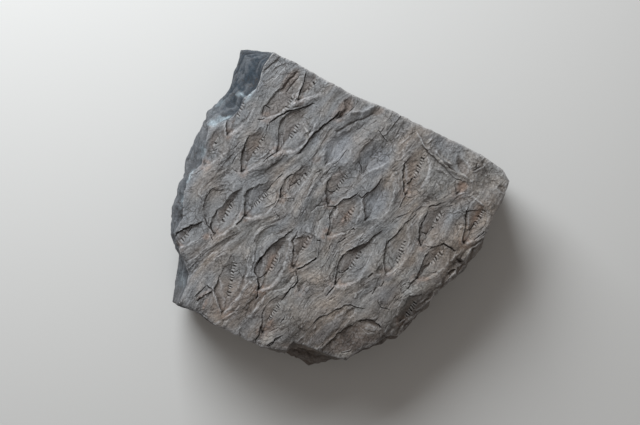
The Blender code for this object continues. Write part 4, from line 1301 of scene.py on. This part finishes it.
@dataclass
class SlabForm:
    """The outer form of the slab, which a cube cut into small faces is spread over.

    Args:
        thickness: from the underside to the face.
        flat_share: the flat share of the underside's radius.
        foot_lift: how far the underside's rim is off the table.
        foot_inset: how far it lies inside the widest outline.
        widest_at: the share of the depth where the side is widest.
        layer: the thickness of a layer of the stone.
        layer_shift: how far a layer stands out past the next.
        thin_layer: the thickness of the thin layers in it.
        joint_lean: the way that the straight joint face at the upper right runs, from X, in radians.
        joint_calm: how much smoother that face is than the broken sides.
        mean_radius: the radius that the lumps of the side are laid out on.
        face_edge: the outline of the face.
        skirt_edge: the widest outline.
        edge_wear: how far the face's rim is worn down.
        wear_reach: how far in from the rim that reaches.
        left_wear: what is added to both at the left.
        crust_reach: how far down the side the pale crusts reach.
        side_grain: how closely the grain's lines lie on the side, against 1 on the face.
        face: the bark face.
    """

    thickness: float = 38.0
    flat_share: float = 0.86
    foot_lift: float = 1.1
    foot_inset: float = 3.0
    widest_at: float = 0.5
    layer: float = 5.5
    layer_shift: float = 1.3
    thin_layer: float = 1.7
    joint_lean: float = -0.45
    joint_calm: float = 0.7
    mean_radius: float = 50.0
    face_edge: Line = (
        (-24.6, 55.3), (-16.6, 51.6), (-8.1, 46.7), (-2.7, 43.8), (6.4, 38.8), (15, 35.8), (27.4, 29.6),
        (40.8, 23.2), (49.8, 18.7), (57.6, 13.3), (59.8, 9.3), (57.6, 2.3), (54.2, -4), (52, -9.2),
        (48.8, -14.8), (47.5, -18.3), (42.9, -23.1), (40.2, -26), (35.1, -30.1), (31.4, -34.3),
        (27.1, -38.6), (24.4, -42.1), (20.7, -46.5), (16.8, -46.1), (10.1, -50), (6.4, -51.2), (1.5, -55),
        (-5.4, -52.8), (-13, -49.7), (-17.4, -48.4), (-20, -51.4), (-28.8, -50.1), (-36.8, -46.1),
        (-45.4, -42.1), (-50.7, -38.2), (-58.5, -34.6), (-56, -29), (-54.8, -24.4), (-56.4, -19.6),
        (-59.5, -12.7), (-60, -9), (-57, -4), (-57, 0), (-56.5, 5), (-54.5, 12), (-50.2, 15.2),
        (-48.6, 23.7), (-47.5, 29.1), (-40.6, 31.2), (-37.1, 34.4), (-34.9, 39.2), (-30.7, 42.2),
        (-29.1, 46.2), (-28.2, 50.2))
    skirt_edge: Line = (
        (-24.2, 56.4), (-8.4, 47.3), (12, 37.2), (36, 25.3), (55, 15.6), (60.6, 9.5), (57.6, 1), (54.6, -6),
        (50, -15), (42.5, -24.5), (33, -33.2), (25, -43), (20, -47.2), (8, -51.5), (-1, -55.2), (-6, -56.7),
        (-12, -57.8), (-20.2, -54.6), (-36.8, -46.6), (-50, -40), (-62.2, -35), (-60.6, -26), (-59.6, -17),
        (-62, -10), (-61.4, 0), (-59.4, 6), (-57, 17), (-53.2, 27), (-50, 36), (-44, 40.4), (-41.4, 45),
        (-38.4, 52), (-36.8, 57.6), (-31, 57.2))
    edge_wear: float = 0.55
    wear_reach: float = 0.5
    left_wear: float = 1.1
    crust_reach: float = 16.0
    side_grain: float = 1.7
    face: BarkFace = field(default_factory=BarkFace)

    def disc(self, across: np.ndarray, up: np.ndarray) -> tuple[np.ndarray, np.ndarray]:
        """Spread a square evenly over a disc.

        Args:
            across: places in the square from left to right, -1 to 1.
            up: places from bottom to top, -1 to 1.

        Returns:
            The direction and the share of the radius of each point.
        """
        share = np.maximum(np.abs(across), np.abs(up))
        whole = np.where(share > 0, share, 1.0)
        wide = np.abs(across) >= np.abs(up)
        turn = np.where(wide, pi / 4 * up / whole, pi / 4 * across / whole)
        right = np.where(across < 0, pi - turn, turn)
        top = np.where(up < 0, turn - pi / 2, pi / 2 - turn)
        turned = np.where(wide, right, top)
        return np.arctan2(np.sin(turned), np.cos(turned)), share

    def roughness(self, turn: np.ndarray, sunk: np.ndarray) -> np.ndarray:
        """Shape the side's layers, lumps and chips.

        Args:
            turn: direction from the centre.
            sunk: share of the depth below the face.

        Returns:
            How far the side stands out.
        """
        deep = sunk * self.thickness
        round_way = np.column_stack([self.mean_radius * np.cos(turn), self.mean_radius * np.sin(turn), deep])
        joint = smooth(0.55, 0.9, np.sin(turn - self.joint_lean))
        broken = 1.0 - self.joint_calm * joint
        depth = (deep + 2.0 * lump(round_way, 21.0)) / self.layer
        shelf = np.column_stack([round_way[:, :2] / 24.0, 7.3 * np.floor(depth)])
        lumps = 1.2 * lump(round_way, (11.0, 11.0, 7.0)) + 0.5 * lump(round_way, 4.0)
        thin = np.floor((deep + 1.1 * ripple(round_way, 13.0, 3.0)) / self.thin_layer)
        thin_shelf = np.column_stack([round_way[:, :2] / 5.0, 3.1 * thin])
        flakes = 0.7 * ripple(thin_shelf, 1.0, 3.5) + 0.25 * ripple(round_way, (6.0, 6.0, 1.1), 3.0)
        scoops = -1.5 * np.abs(ripple(round_way, (8.0, 8.0, 6.0), 5.0))
        scoops -= 0.6 * np.abs(ripple(round_way, 2.6, 6.0))
        scoops += 0.8 * ripple(round_way, (5.0, 5.0, 4.0), 47.0)
        grit = 0.15 * ripple(round_way, 1.1, 9.0)
        coarse = self.layer_shift * lump(shelf, 1.0) + lumps + scoops + 0.3
        return broken * coarse + (0.4 + 0.6 * broken) * (flakes + grit)

    def place(self, cube: np.ndarray) -> tuple[np.ndarray, Stains, np.ndarray]:
        """Place points of a cube two units wide on the slab.

        Args:
            cube: the points, on the cube's surface.

        Returns:
            The places in millimetres, the stains, and the place along and across the grain.
        """
        across, up, level = cube.T
        turn, share = self.disc(across, up)
        ray = np.column_stack([np.cos(turn), np.sin(turn)])
        sunk = 0.5 * (1.0 - level)
        edge = ray_length(turn, self.face_edge)
        edge = edge + 0.3 * ripple(edge[:, None] * ray, 2.2, 21.0)
        skirt = ray_length(turn, self.skirt_edge)
        rough = self.roughness(turn, sunk) * smooth(0.0, 0.12, sunk)
        reach = edge + (skirt - edge) * smooth(0.0, self.widest_at, sunk) + rough
        reach = reach - self.foot_inset * smooth(0.7, 1.0, sunk) ** 2
        plan = (share * reach)[:, None] * ray
        on_top = level > ON_TOP
        height, stains, flow = self.face.read(np.where(on_top[:, None], plan, edge[:, None] * ray))
        from_rim = np.where(on_top, edge * (1.0 - share), 0.0)
        left = smooth(0.55, 0.95, -ray[:, 0])
        wear_reach = self.wear_reach + self.left_wear * left
        worn = (self.edge_wear + self.left_wear * left) * np.exp(-from_rim / wear_reach)
        top = self.thickness + height - worn
        foot = self.foot_lift * smooth(self.flat_share, 1.0, share) * (0.6 + 0.4 * np.sin(5.0 * turn))
        fade = np.where(on_top, 1.0, 0.3 * smooth(0.1, 0.0, sunk))
        for tint in Tint:
            if tint is not Tint.COOL:
                stains[tint] *= fade
        self.paint_side_light_and_shade(stains, ray, sunk, from_rim, on_top)
        # A painted highlight along the rim of the joint face at the upper right, where its bevel catches the
        # window light, in pale and worn colour.
        jointed = smooth(0.3, 0.75, np.sin(turn - self.joint_lean))
        rim_highlight = jointed * np.where(on_top, bell(from_rim, 0.5), 0.0)
        stains.add(Tint.PALE, 0.9 * rim_highlight)
        stains[Tint.WORN_HIGHLIGHT] = rim_highlight
        near_rim = np.where(on_top, np.exp(-from_rim), np.exp(-sunk * self.thickness / self.crust_reach))
        spots = np.column_stack([plan, sunk * self.thickness])
        for patch in CRUST:
            cover, _ = patch.cover(plan + 1.2 * ripple(spots, 2.4, 54.0)[:, None])
            stains.add(patch.tint, patch.strength * cover * near_rim)
        deep = np.where(on_top, 0.0, sunk * self.thickness)
        flow = flow + np.column_stack([np.zeros(len(deep)), self.side_grain * deep])
        return np.column_stack([plan, foot + (top - foot) * (1.0 - sunk)]), stains, flow

    def paint_side_light_and_shade(
        self, stains: Stains, ray: np.ndarray, sunk: np.ndarray, from_rim: np.ndarray, on_top: np.ndarray,
    ) -> None:
        """Paint light and shade on the side: a bluish tint of the cool light and a dark bluish grey painted
        shade at the left and upper left, and a brown painted shadow at the bottom.

        Args:
            stains: the stains to add to.
            ray: direction from the centre.
            sunk: share of the depth below the face.
            from_rim: how far inside the rim each point lies.
            on_top: whether it is on the face.
        """
        left = smooth(0.55, 0.95, -ray[:, 0])
        upper = smooth(0.35, 0.75, ray[:, 1]) * smooth(-0.2, -0.5, ray[:, 0])
        low = (~on_top) & (ray[:, 1] < -0.6)
        # A bluish painted tint of the cool light on the left side and the rim beside it.
        stains.add(Tint.BLUE, left * np.where(on_top, 0.6 * np.exp(-from_rim / 1.6), 0.5))
        # Painted shadow in umber and brown on the lower sides.
        stains.add(Tint.UMBER, 0.72 * low * smooth(0.0, 0.2, sunk))
        stains.add(Tint.BROWN, 0.6 * low * smooth(0.0, 0.2, sunk))
        # Painted shade in dark bluish grey on the left and upper left sides and along the rim there.
        slate = np.maximum(0.7 * left, 1.1 * upper) * np.where(on_top, np.exp(-from_rim / 1.2), 1.0)
        stains.add(Tint.SLATE_SHADE, slate)


@dataclass(frozen=True)
class Speckle:
    """Noise that is read as a share from 0 to 1.

    Args:
        scale: bumps for each unit of the place.
        detail: how many finer layers of noise are added.
        low: the noise that gives 0.
        high: the noise that gives 1.
    """

    scale: float
    detail: float
    low: float = 0.35
    high: float = 0.65


@dataclass(frozen=True)
class Nodes:
    """The nodes of one material.

    Args:
        tree: the tree that they are added to.
    """

    tree: bpy.types.NodeTree

    def feed(self, node: bpy.types.Node, inputs: dict[int | str, Feed]) -> None:
        """Set or link a node's inputs.

        Args:
            node: the node.
            inputs: what each input is given: a number, a colour or another node's socket.
        """
        for name, value in inputs.items():
            if isinstance(value, bpy.types.NodeSocket):
                self.tree.links.new(value, node.inputs[name])
            else:
                node.inputs[name].default_value = value

    def add(
        self, kind: str, out: int | str, inputs: dict[int | str, Feed], **options: str,
    ) -> bpy.types.NodeSocket:
        """Add a node.

        Args:
            kind: its type.
            out: the output to return.
            inputs: what its inputs are given.
            options: its settings.

        Returns:
            The socket of that output.
        """
        node = self.tree.nodes.new("ShaderNode" + kind)
        for name, value in options.items():
            setattr(node, name, value)
        self.feed(node, inputs)
        return node.outputs[out]

    def mix(self, share: Feed, first: Feed, second: Feed, how: str = "MIX") -> bpy.types.NodeSocket:
        """Mix two colours.

        Args:
            share: how much of the second colour there is.
            first: a colour or the socket that gives it.
            second: a colour or the socket that gives it.
            how: the way they are mixed.

        Returns:
            The socket of the mixed colour.
        """
        first, second = ((*end, 1.0) if isinstance(end, tuple) else end for end in (first, second))
        return self.add("Mix", 2, {0: share, 6: first, 7: second}, data_type="RGBA", blend_type=how)

    def shade(self, colour: Feed, share: Feed, dark: Hue, light: Hue) -> bpy.types.NodeSocket:
        """Multiply a colour by one between dark and light."""
        return self.mix(1.0, colour, self.mix(share, dark, light), "MULTIPLY")

    def times(self, value: Feed, factor: Feed) -> bpy.types.NodeSocket:
        """Multiply two numbers."""
        return self.add("Math", 0, {0: value, 1: factor}, operation="MULTIPLY")

    def span(self, value: Feed, low: float, high: float) -> bpy.types.NodeSocket:
        """Read a number as a share from 0 at low to 1 at high."""
        return self.add("MapRange", "Result", {"Value": value, "From Min": low, "From Max": high})

    def speckle(self, where: Feed, spots: Speckle) -> bpy.types.NodeSocket:
        """Read noise as a share from 0 to 1, at the place that a socket gives."""
        grain = self.add("TexNoise", "Fac", {"Vector": where, "Scale": spots.scale, "Detail": spots.detail})
        return self.span(grain, spots.low, spots.high)

    def crazing(self, where: Feed) -> bpy.types.NodeSocket:
        """Read the finest cracks, thin lines that come and go.

        Args:
            where: the socket that gives the place.

        Returns:
            The socket of a share from 0 to 1.
        """
        stir = self.add("TexNoise", "Color", {"Vector": where, "Scale": 420.0})
        bent = self.add("VectorMath", 0, {0: stir, 1: (0.0035,) * 3, 2: where}, operation="MULTIPLY_ADD")
        cells = {"Vector": bent, "Scale": 290.0}
        edges = self.add("TexVoronoi", "Distance", cells, feature="DISTANCE_TO_EDGE")
        return self.times(self.span(edges, 0.07, 0.0), self.speckle(where, Speckle(130.0, 2.0, 0.48, 0.6)))

    def hairs(self, where: Feed) -> bpy.types.NodeSocket:
        """Read dark hairlines that follow the grain.

        Args:
            where: the socket that gives the place along and across the grain.

        Returns:
            The socket of a share from 0 to 1.
        """
        grain = self.add("TexNoise", "Fac", {"Vector": where, "Scale": 0.75, "Detail": 3.0})
        off = self.add("Math", 0, {0: grain, 1: 0.5}, operation="SUBTRACT")
        away = self.add("Math", 0, {0: off}, operation="ABSOLUTE")
        return self.span(away, 0.012, 0.0)


@dataclass(frozen=True)
class StoneFinish:
    """Dull grey-brown mudstone, streaked along the bark's grain and stained brown, rust and blue.

    Args:
        warm: one of the stone's two colours.
        cool: the other.
        streak: the colour of the pale streaks.
        hairline: the colour of the finest cracks and hairlines.
        tints: the colour of each stain, painted shade and painted highlight, and how much of the stone it
            hides at full strength.
        roughness: how dull the stone is.
        specular: how strongly it shines.
        clouds: where the stone is warm and where it is cool.
        blotches: darker and lighter places a few millimetres wide.
        streaks: the pale streaks along the grain.
        bands: darker and lighter bands along the grain.
        flecks: darker and lighter flecks of a millimetre or two.
        grit: the finest grains.
        streak_share: how much of the stone a streak hides at most.
        crazing_share: how much the finest cracks hide.
        hair_share: how much the hairlines hide.
        ridges: the small ridges along the grain.
        roughening: the roughness of the surface.
        ridge_height: how high the ridges are, in metres, as all heights of the finish.
        grain_height: how high the roughening is.
        line_depth: how deep the finest cracks and hairlines are.
    """

    warm: Hue = (0.198, 0.160, 0.130)
    cool: Hue = (0.163, 0.157, 0.149)
    streak: Hue = (0.240, 0.225, 0.211)
    hairline: Hue = (0.035, 0.027, 0.022)
    tints: tuple[tuple[Tint, Hue, float], ...] = (
        (Tint.COOL, (0.146, 0.151, 0.158), 0.85),
        (Tint.BLUE, (0.174, 0.182, 0.198), 0.7),
        (Tint.BROWN, (0.130, 0.095, 0.076), 0.75),
        (Tint.UMBER, (0.050, 0.036, 0.027), 0.85),
        (Tint.SLATE_SHADE, (0.017, 0.026, 0.036), 0.93),
        (Tint.PALE, (0.262, 0.240, 0.216), 0.7),
        (Tint.RUST, (0.225, 0.141, 0.100), 0.72),
        (Tint.WORN_HIGHLIGHT, (0.34, 0.335, 0.34), 0.55),
        (Tint.FROST, (0.36, 0.43, 0.47), 0.8),
        (Tint.HOLLOW_SHADE, (0.050, 0.039, 0.033), 0.55),
        (Tint.CRACK_SHADE, (0.026, 0.018, 0.014), 0.85),
    )
    roughness: float = 0.88
    specular: float = 0.28
    clouds: Speckle = Speckle(60.0, 5.0, 0.4, 0.6)
    blotches: Speckle = Speckle(110.0, 3.0)
    streaks: Speckle = Speckle(1.3, 5.0, 0.3, 0.7)
    bands: Speckle = Speckle(0.3, 2.0)
    flecks: Speckle = Speckle(620.0, 2.0)
    grit: Speckle = Speckle(1900.0, 2.0, 0.3, 0.7)
    streak_share: float = 0.35
    crazing_share: float = 0.65
    hair_share: float = 0.45
    ridges: Speckle = Speckle(2.2, 4.0, 0.2, 0.8)
    roughening: Speckle = Speckle(1300.0, 3.0, 0.2, 0.8)
    ridge_height: float = 0.00015
    grain_height: float = 0.00018
    line_depth: float = 0.00012

    def material(self) -> bpy.types.Material:
        """Build the stone's material.

        Returns:
            The material.
        """
        stone = bpy.data.materials.new("mudstone")
        stone.use_nodes = True
        nodes = Nodes(stone.node_tree)
        place = nodes.add("TexCoord", "Object", {})
        lines = nodes.add("UVMap", "UV", {}, uv_map="grain")
        along = nodes.add("Mapping", "Vector", {"Vector": lines, "Scale": (0.16, 1.0, 1.0)})
        crazing = nodes.crazing(place)
        hairs = nodes.hairs(along)

        colour = nodes.mix(nodes.speckle(place, self.clouds), self.warm, self.cool)
        colour = nodes.shade(colour, nodes.speckle(place, self.blotches), (0.78,) * 3, (1.18,) * 3)
        streaks = nodes.times(nodes.speckle(along, self.streaks), self.streak_share)
        colour = nodes.mix(streaks, colour, self.streak)
        colour = nodes.shade(colour, nodes.speckle(along, self.bands), (0.84,) * 3, (1.13,) * 3)
        for tint, hue, most in self.tints:
            layer = nodes.add("Attribute", "Fac", {}, attribute_name=tint.value)
            colour = nodes.mix(nodes.times(layer, most), colour, hue)
        colour = nodes.shade(colour, nodes.speckle(place, self.flecks), (0.9,) * 3, (1.08,) * 3)
        colour = nodes.shade(colour, nodes.speckle(place, self.grit), (0.74,) * 3, (1.2, 1.195, 1.19))
        colour = nodes.mix(nodes.times(crazing, self.crazing_share), colour, self.hairline)
        colour = nodes.mix(nodes.times(hairs, self.hair_share), colour, self.hairline)

        look = {"Base Color": colour, "Roughness": self.roughness, "Specular IOR Level": self.specular}
        bump = {"Strength": 1.0}
        for height, distance in (
            (nodes.speckle(along, self.ridges), self.ridge_height),
            (nodes.speckle(place, self.roughening), self.grain_height),
            (nodes.times(crazing, -1.0), self.line_depth),
            (nodes.times(hairs, -1.0), self.line_depth),
        ):
            bump["Normal"] = nodes.add("Bump", "Normal", {**bump, "Height": height, "Distance": distance})
        nodes.feed(stone.node_tree.nodes["Principled BSDF"], {**look, "Normal": bump["Normal"]})
        return stone


class Cut(Enum):
    """Which faces of the cube are halved."""

    ALL_BUT_UNDERSIDE = "all but the underside"
    BARK_FACE = "the bark face"
    FINE_MARKS = "the bark face where it has cracks and notches"


def is_upright(edge: bmesh.types.BMEdge) -> bool:
    """Tell whether an edge of the cube stands upright."""
    return abs(edge.verts[0].co.z - edge.verts[1].co.z) > SAME_HEIGHT


def set_out(name: str, data: bpy.types.ID) -> bpy.types.Object:
    """Put a mesh, a lamp or a camera in the scene.

    Args:
        name: the name of its object.
        data: the mesh, lamp or camera.

    Returns:
        The new object, at the origin.
    """
    found = bpy.data.objects.new(name, data)
    bpy.context.scene.collection.objects.link(found)
    return found


def read_all(items: bpy.types.bpy_prop_collection, name: str, width: int, kind: type = float) -> np.ndarray:
    """Read one property of each vertex, edge or corner of a mesh.

    Args:
        items: the vertices, edges or corners.
        name: the property.
        width: how many numbers each has.
        kind: the kind of number.

    Returns:
        The numbers, one row for each item.
    """
    found = np.empty(width * len(items), kind)
    items.foreach_get(name, found)
    return found.reshape(-1, width)


def count_triangles(mesh: bpy.types.Mesh) -> int:
    """Count the triangles that a mesh comes to."""
    return sum(len(face.vertices) - 2 for face in mesh.polygons)


@dataclass
class FossilSlab:
    """The slab as one mesh that stands for the plain solid.

    Args:
        segments: how many parts each level edge of the cube is cut into at first.
        ledges: how many parts each upright edge is.
        relief_rounds: how far around a point its surroundings reach, in edges.
        relief_height: how far a crest stands out to be fully worn and get its full painted highlight, and how
            far a hollow lies in to get its full painted shade.
        side_wear_and_shade: how strongly the sides are worn and painted with highlight and shade, where the
            bark face counts as 1.
        most_triangles: how many triangles the mesh may have.
        sharp_angle: the angle from which an edge is sharp, in degrees.
        form: its form.
        finish: its material.
    """

    segments: int = 108
    ledges: int = 20
    relief_rounds: int = 8
    relief_height: float = 0.13
    side_wear_and_shade: float = 0.3
    most_triangles: int = 190000
    sharp_angle: float = 38.0
    form: SlabForm = field(default_factory=SlabForm)
    finish: StoneFinish = field(default_factory=StoneFinish)

    def net(self) -> bmesh.types.BMesh:
        """Cut a cube two units wide into small faces, smallest where the bark has cracks and notches.

        Returns:
            The cut cube.
        """
        net = bmesh.new()
        bmesh.ops.create_cube(net, size=2.0)
        for upright, parts in ((True, self.ledges), (False, self.segments)):
            edges = [edge for edge in net.edges if is_upright(edge) == upright]
            bmesh.ops.subdivide_edges(net, edges=edges, cuts=parts - 1, use_grid_fill=True)
        for part in Cut:
            self.halve(net, part)
        return net

    def halve(self, net: bmesh.types.BMesh, part: Cut) -> None:
        """Halve the faces of one part of the cube.

        Args:
            net: the cube.
            part: which of its faces to halve.
        """
        end, above = (max, -ON_TOP) if part is Cut.ALL_BUT_UNDERSIDE else (min, ON_TOP)
        faces = [f for f in net.faces if len(f.verts) == 4 and end(v.co.z for v in f.verts) > above]
        if part is Cut.FINE_MARKS:
            middles = np.array([f.calc_center_median() for f in faces])
            turn, share = self.form.disc(middles[:, 0], middles[:, 1])
            reach = share * ray_length(turn, self.form.face_edge)
            fine = self.form.face.needs_detail(reach[:, None] * np.column_stack([np.cos(turn), np.sin(turn)]))
            faces = [f for f, wanted in zip(faces, fine) if wanted]
        edges = {edge for f in faces for edge in f.edges}
        bmesh.ops.subdivide_edges(net, edges=list(edges), cuts=1, use_grid_fill=True)

    def mesh(self) -> bpy.types.Mesh:
        """Build the slab's mesh, with its stains, painted shade and painted highlights, and the direction of
        its grain.

        Returns:
            The finely cut mesh.
        """
        net = self.net()
        cube = np.array([vert.co for vert in net.verts])
        places, stains, flow = self.form.place(cube)
        for vert, spot in zip(net.verts, places * MM):
            vert.co = spot
        bmesh.ops.recalc_face_normals(net, faces=net.faces)
        mesh = bpy.data.meshes.new("bark_slab")
        net.to_mesh(mesh)
        net.free()
        # Crests are painted pale, as wear and as painted highlight, and hollows dark, as painted shade; both
        # more weakly on the sides.
        exposed = np.where(cube[:, 2] > ON_TOP, 1.0, self.side_wear_and_shade)
        worn, dusty = self.crests_and_hollows(mesh)
        stains.add(Tint.WORN_HIGHLIGHT, exposed * worn)
        stains[Tint.HOLLOW_SHADE] = exposed * dusty
        for tint, strength in stains.items():
            layer = mesh.attributes.new(tint.value, "FLOAT", "POINT")
            layer.data.foreach_set("value", strength.astype(np.float32))
        corners = read_all(mesh.loops, "vertex_index", 1, np.int32).ravel()
        grain = mesh.uv_layers.new(name="grain")
        grain.uv.foreach_set("vector", flow[corners].astype(np.float32).ravel())
        return mesh

    def thin(self, mesh: bpy.types.Mesh) -> bpy.types.Mesh:
        """Merge the faces that the form doesn't need.

        Args:
            mesh: the finely cut mesh, which is used up.

        Returns:
            A mesh of at most about most_triangles.
        """
        whole = set_out("whole", mesh)
        fewer = whole.modifiers.new("fewer", "DECIMATE")
        fewer.ratio = min(1.0, self.most_triangles / count_triangles(mesh))
        graph = bpy.context.evaluated_depsgraph_get()
        found = bpy.data.meshes.new_from_object(
            whole.evaluated_get(graph), preserve_all_data_layers=True, depsgraph=graph)
        bpy.data.objects.remove(whole)
        bpy.data.meshes.remove(mesh)
        found.name = "bark_slab"
        found.shade_smooth()
        found.set_sharp_from_angle(angle=radians(self.sharp_angle))
        return found

    def crests_and_hollows(self, mesh: bpy.types.Mesh) -> tuple[np.ndarray, np.ndarray]:
        """Find the worn crests, which also get a painted highlight, and the hollows, which get painted shade.

        Args:
            mesh: the slab's mesh.

        Returns:
            How strongly each vertex stands out of its surroundings, and how deep it lies in them.
        """
        places = read_all(mesh.vertices, "co", 3) / MM
        normals = read_all(mesh.vertices, "normal", 3)
        ends = read_all(mesh.edges, "vertices", 2, np.int32)
        first, second = ends.T
        count = np.bincount(ends.ravel(), minlength=len(places))
        middle = places
        for _ in range(self.relief_rounds):
            total = np.column_stack([
                np.bincount(first, column[second], len(places))
                + np.bincount(second, column[first], len(places))
                for column in middle.T])
            middle = 0.5 * middle + 0.5 * total / count[:, None]
        out = np.einsum("ij,ij->i", places - middle, normals)
        return np.clip(out / self.relief_height, 0.0, 1.0), np.clip(-out / self.relief_height, 0.0, 1.0)

    def build(self) -> None:
        """Build the slab and let it stand for the plain solid."""
        mesh = self.thin(self.mesh())
        mesh.materials.append(self.finish.material())
        piece = set_out("bark_slab", mesh)
        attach(piece, "root")
        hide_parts(NODE)
        LOG.info("bark_slab: %d triangles", count_triangles(mesh))


# The studio


@dataclass
class Studio:
    """A plain pale floor, a soft window light from the upper left and a camera that looks straight down.

    Args:
        floor_tone: the floor's colour.
        floor_width: its width.
        floor_roughness: how dull it is.
        eye: where the camera stands.
        lens: its focal length in millimetres.
        nearest: how near it sees.
        key_from: the direction that the window light comes from.
        key_away: its distance from the slab.
        key_width: its width.
        key_power: its power in watts.
        key_tone: its colour.
        fill_tone: the colour of the light all round.
        fill_strength: how strong that is.
    """

    floor_tone: Hue = (0.46, 0.45, 0.436)
    floor_width: float = 3.0
    floor_roughness: float = 0.9
    eye: tuple[float, float, float] = (-0.007857, -0.001964, 0.514)
    lens: float = 75.0
    nearest: float = 0.01
    key_from: tuple[float, float, float] = (-0.36, 0.70, 0.66)
    key_away: float = 0.5
    key_width: float = 0.317
    key_power: float = 4.57
    key_tone: Hue = (0.91, 0.96, 1.0)
    fill_tone: Hue = (1.0, 0.955, 0.915)
    fill_strength: float = 0.32

    def lay_floor(self) -> None:
        """Lay the floor under the slab."""
        net = bmesh.new()
        bmesh.ops.create_grid(net, x_segments=1, y_segments=1, size=self.floor_width / 2)
        mesh = bpy.data.meshes.new("floor")
        net.to_mesh(mesh)
        net.free()
        pale = bpy.data.materials.new("pale_floor")
        pale.use_nodes = True
        surface = pale.node_tree.nodes["Principled BSDF"]
        surface.inputs["Base Color"].default_value = (*self.floor_tone, 1.0)
        surface.inputs["Roughness"].default_value = self.floor_roughness
        mesh.materials.append(pale)
        floor = set_out("floor", mesh)

    def hang_light(self) -> None:
        """Hang the window light."""
        lamp = bpy.data.lights.new("window", "AREA")
        lamp.shape = "SQUARE"
        lamp.size = self.key_width
        lamp.energy = self.key_power
        lamp.color = self.key_tone
        window = set_out("window", lamp)
        way = Vector(self.key_from).normalized()
        window.location = way * self.key_away
        window.rotation_euler = way.to_track_quat("Z", "Y").to_euler()

    def fill(self) -> None:
        """Light the rest softly, a little warmer than the window."""
        world = bpy.data.worlds.new("room")
        world.use_nodes = True
        back = world.node_tree.nodes["Background"]
        back.inputs["Color"].default_value = (*self.fill_tone, 1.0)
        back.inputs["Strength"].default_value = self.fill_strength
        bpy.context.scene.world = world

    def aim(self) -> None:
        """Set the camera straight above the slab. A new camera looks down."""
        lens = bpy.data.cameras.new("camera")
        lens.lens = self.lens
        lens.clip_start = self.nearest
        camera = set_out("camera", lens)
        camera.location = self.eye
        bpy.context.scene.camera = camera

    def build(self) -> None:
        """Set up the floor, the lights and the camera."""
        self.lay_floor()
        self.hang_light()
        self.fill()
        self.aim()
        bpy.context.scene.view_settings.view_transform = "Standard"
        LOG.info("studio: floor, window light and camera")


def main() -> None:
    """Build the slab and the studio, and note the slab's size."""
    logging.basicConfig(level=logging.INFO, format="%(name)s: %(message)s")
    FossilSlab().build()
    Studio().build()


if __name__ == "__main__":
    main()
